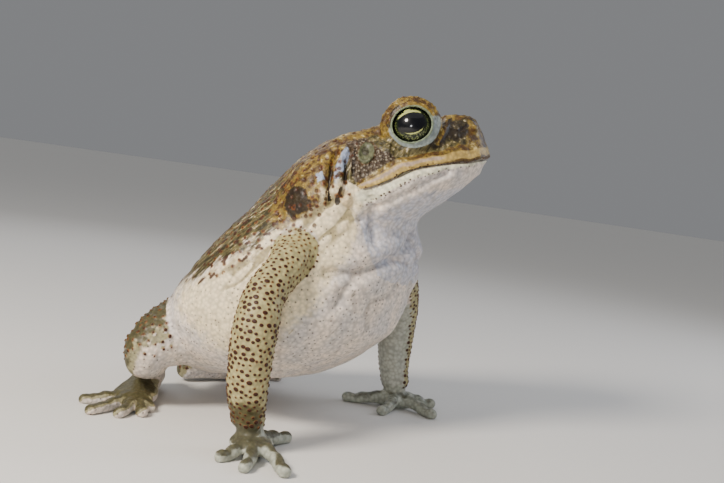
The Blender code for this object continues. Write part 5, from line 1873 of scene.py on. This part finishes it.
class ToadColours(bpy.types.PropertyGroup):
    """Colours of the skin, the eyes and the stage."""
    belly_cool: colour("Cool belly", "Belly skin where it is cooler", "CBC3BD")
    belly_warm: colour("Warm belly", "Belly skin where it is warmer", "E2D2C2")
    cream: colour("Cream", "Flank and shoulder", "DFCFA8")
    back: colour("Back", "Olive of the back", "585030")
    back_dark: colour("Dark streak", "Dark streaks of the back", "2E2812")
    back_streak: colour("Cream streak", "Pale streaks of the back", "A08E60")
    limb: colour("Limb", "Olive cream of the arms", "A0976A")
    leg_pale: colour("Leg", "Pale olive of the legs and hands", "8B8562")
    ochre: colour("Ochre", "Glands, lids and lip ridge", "7A6426")
    ochre_brown: colour("Ochre brown", "Brown blotches of the ochre skin", "462E10")
    ochre_pale: colour("Pale ochre", "Pale flecks of the ochre skin", "B5A26E")
    inner: colour("Inner limb", "Grey-green inner sides of the arms", "A4A89C")
    # colour of the painted shade in the bottoms of the folds
    crease: colour("Crease", "Shaded bottoms of the folds", "6A6660")
    # colour of the painted shade in the bottoms of the cream band's thin folds
    pleat: colour("Pleat", "Olive bottoms of the cream band's folds", "7C7046")
    # dark olive tops of legs and hands, also the painted shade on the right hand
    dusk: colour("Dusk", "Dark olive tops of the legs and hands", "3B3619")
    cheek: colour("Cheek", "Dark skin between the cheek's granules", "3C2E20")
    # pinkish lip tone, partly a painted highlight on the lip's roll
    lilac: colour("Lilac", "Pink-grey middle of the upper lip", "B09C92")
    # the dark patches' own colour, also used for the painted shade of the gap layer
    umber_and_painted_shade: colour("Umber", "Dark patches", "1F150A")
    blue: colour("Blue", "Blue-grey folds", "9CA9C4")
    lump: colour("Lump", "Pale lump behind the mouth", "C9B48C")
    rust: colour("Rust", "Orange-brown rings of single spots", "633816")
    lid: colour("Lower lid", "Blue-grey lower lid", "828D8C")
    lid_edge: colour("Lid edge", "Grey-green edge of both lids", "6E7A60")
    lip: colour("Lip", "Yellow-pink middle of the upper lip", "B59A58")
    pale_lip: colour("Lower lip", "White band of the lower lip", "DAD6BC")
    ear: colour("Eardrum", "Green-grey eardrum", "555840")
    halo: colour("Halo", "Brown skin round the horny tips", "74461A")
    pore: colour("Pore", "Dark pores of the glands", "3E200A")
    wart: colour("Wart", "Brown tops of the big warts", "3A1D0A")
    # pale granule tips, partly their own colour, partly painted highlight
    pearl: colour("Pearl", "Pale tips of the cheek's granules", "8C8270")
    # colour of the painted shade along the groove between the lips
    mouth: colour("Mouth", "The line of the mouth", "3A2412")
    speckle: colour("Speckle", "Small dots of the belly", "453D36")
    tip: colour("Tip", "Horny wart tips", "321606")
    pupil: colour("Pupil", "The pupil", "030408")
    iris: colour("Iris", "Dark green of the iris", "141F12")
    iris_dark: colour("Dark iris", "Nearly black iris", "070906")
    iris_fleck: colour("Iris fleck", "Green-gold flecks", "747C42")
    iris_silver: colour("Silver fleck", "Silver-green flecks under the pupil", "767C50")
    iris_gold: colour("Iris gold", "Gold crescents", "A8AC66")
    floor: colour("Floor", "Studio paper", "D4D2CE")
    surround: colour("Surround", "Light from all round", "E6E8EC")


class TOAD_OT_skin(bpy.types.Operator):
    """Build the one skin of the body with its folds, warts and markings"""
    bl_idname = "toad.skin"
    bl_label = "Skin"

    def execute(self, context):
        build_skin()
        return {"FINISHED"}


class TOAD_OT_wart_caps(bpy.types.Operator):
    """Set a horny cap on each wart of the arms and legs"""
    bl_idname = "toad.wart_caps"
    bl_label = "Wart caps"

    def execute(self, context):
        build_caps()
        return {"FINISHED"}


class TOAD_OT_eyes(bpy.types.Operator):
    """Build both eyeballs with iris, pupil and cornea"""
    bl_idname = "toad.eyes"
    bl_label = "Eyes"

    def execute(self, context):
        build_eyes()
        return {"FINISHED"}


class TOAD_OT_stage(bpy.types.Operator):
    """Lay the floor and place the lights and the camera"""
    bl_idname = "toad.stage"
    bl_label = "Stage"

    def execute(self, context):
        build_stage()
        return {"FINISHED"}


OPERATORS = (TOAD_OT_skin, TOAD_OT_wart_caps, TOAD_OT_eyes, TOAD_OT_stage)


class TOAD_PT_panel(bpy.types.Panel):
    """Lists the pieces of the toad"""
    bl_idname = "TOAD_PT_panel"
    bl_label = "Cane toad"
    bl_space_type = "VIEW_3D"
    bl_region_type = "UI"
    bl_category = "Toad"

    def draw(self, context):
        for operator in OPERATORS:
            self.layout.operator(operator.bl_idname)
        for group in (context.scene.toad_sizes, context.scene.toad_colours):
            for name in group.__annotations__:
                self.layout.prop(group, name)


CLASSES = (ToadSizes, ToadColours, *OPERATORS, TOAD_PT_panel)


def register():
    for cls in CLASSES:
        bpy.utils.register_class(cls)
    bpy.types.Scene.toad_sizes = PointerProperty(type=ToadSizes)
    bpy.types.Scene.toad_colours = PointerProperty(type=ToadColours)


def unregister():
    del bpy.types.Scene.toad_colours
    del bpy.types.Scene.toad_sizes
    for cls in reversed(CLASSES):
        bpy.utils.unregister_class(cls)


def main():
    """Build every piece in order."""
    register()
    bpy.ops.toad.skin()
    bpy.ops.toad.wart_caps()
    bpy.ops.toad.eyes()
    bpy.ops.toad.stage()


if __name__ == "__main__":
    main()
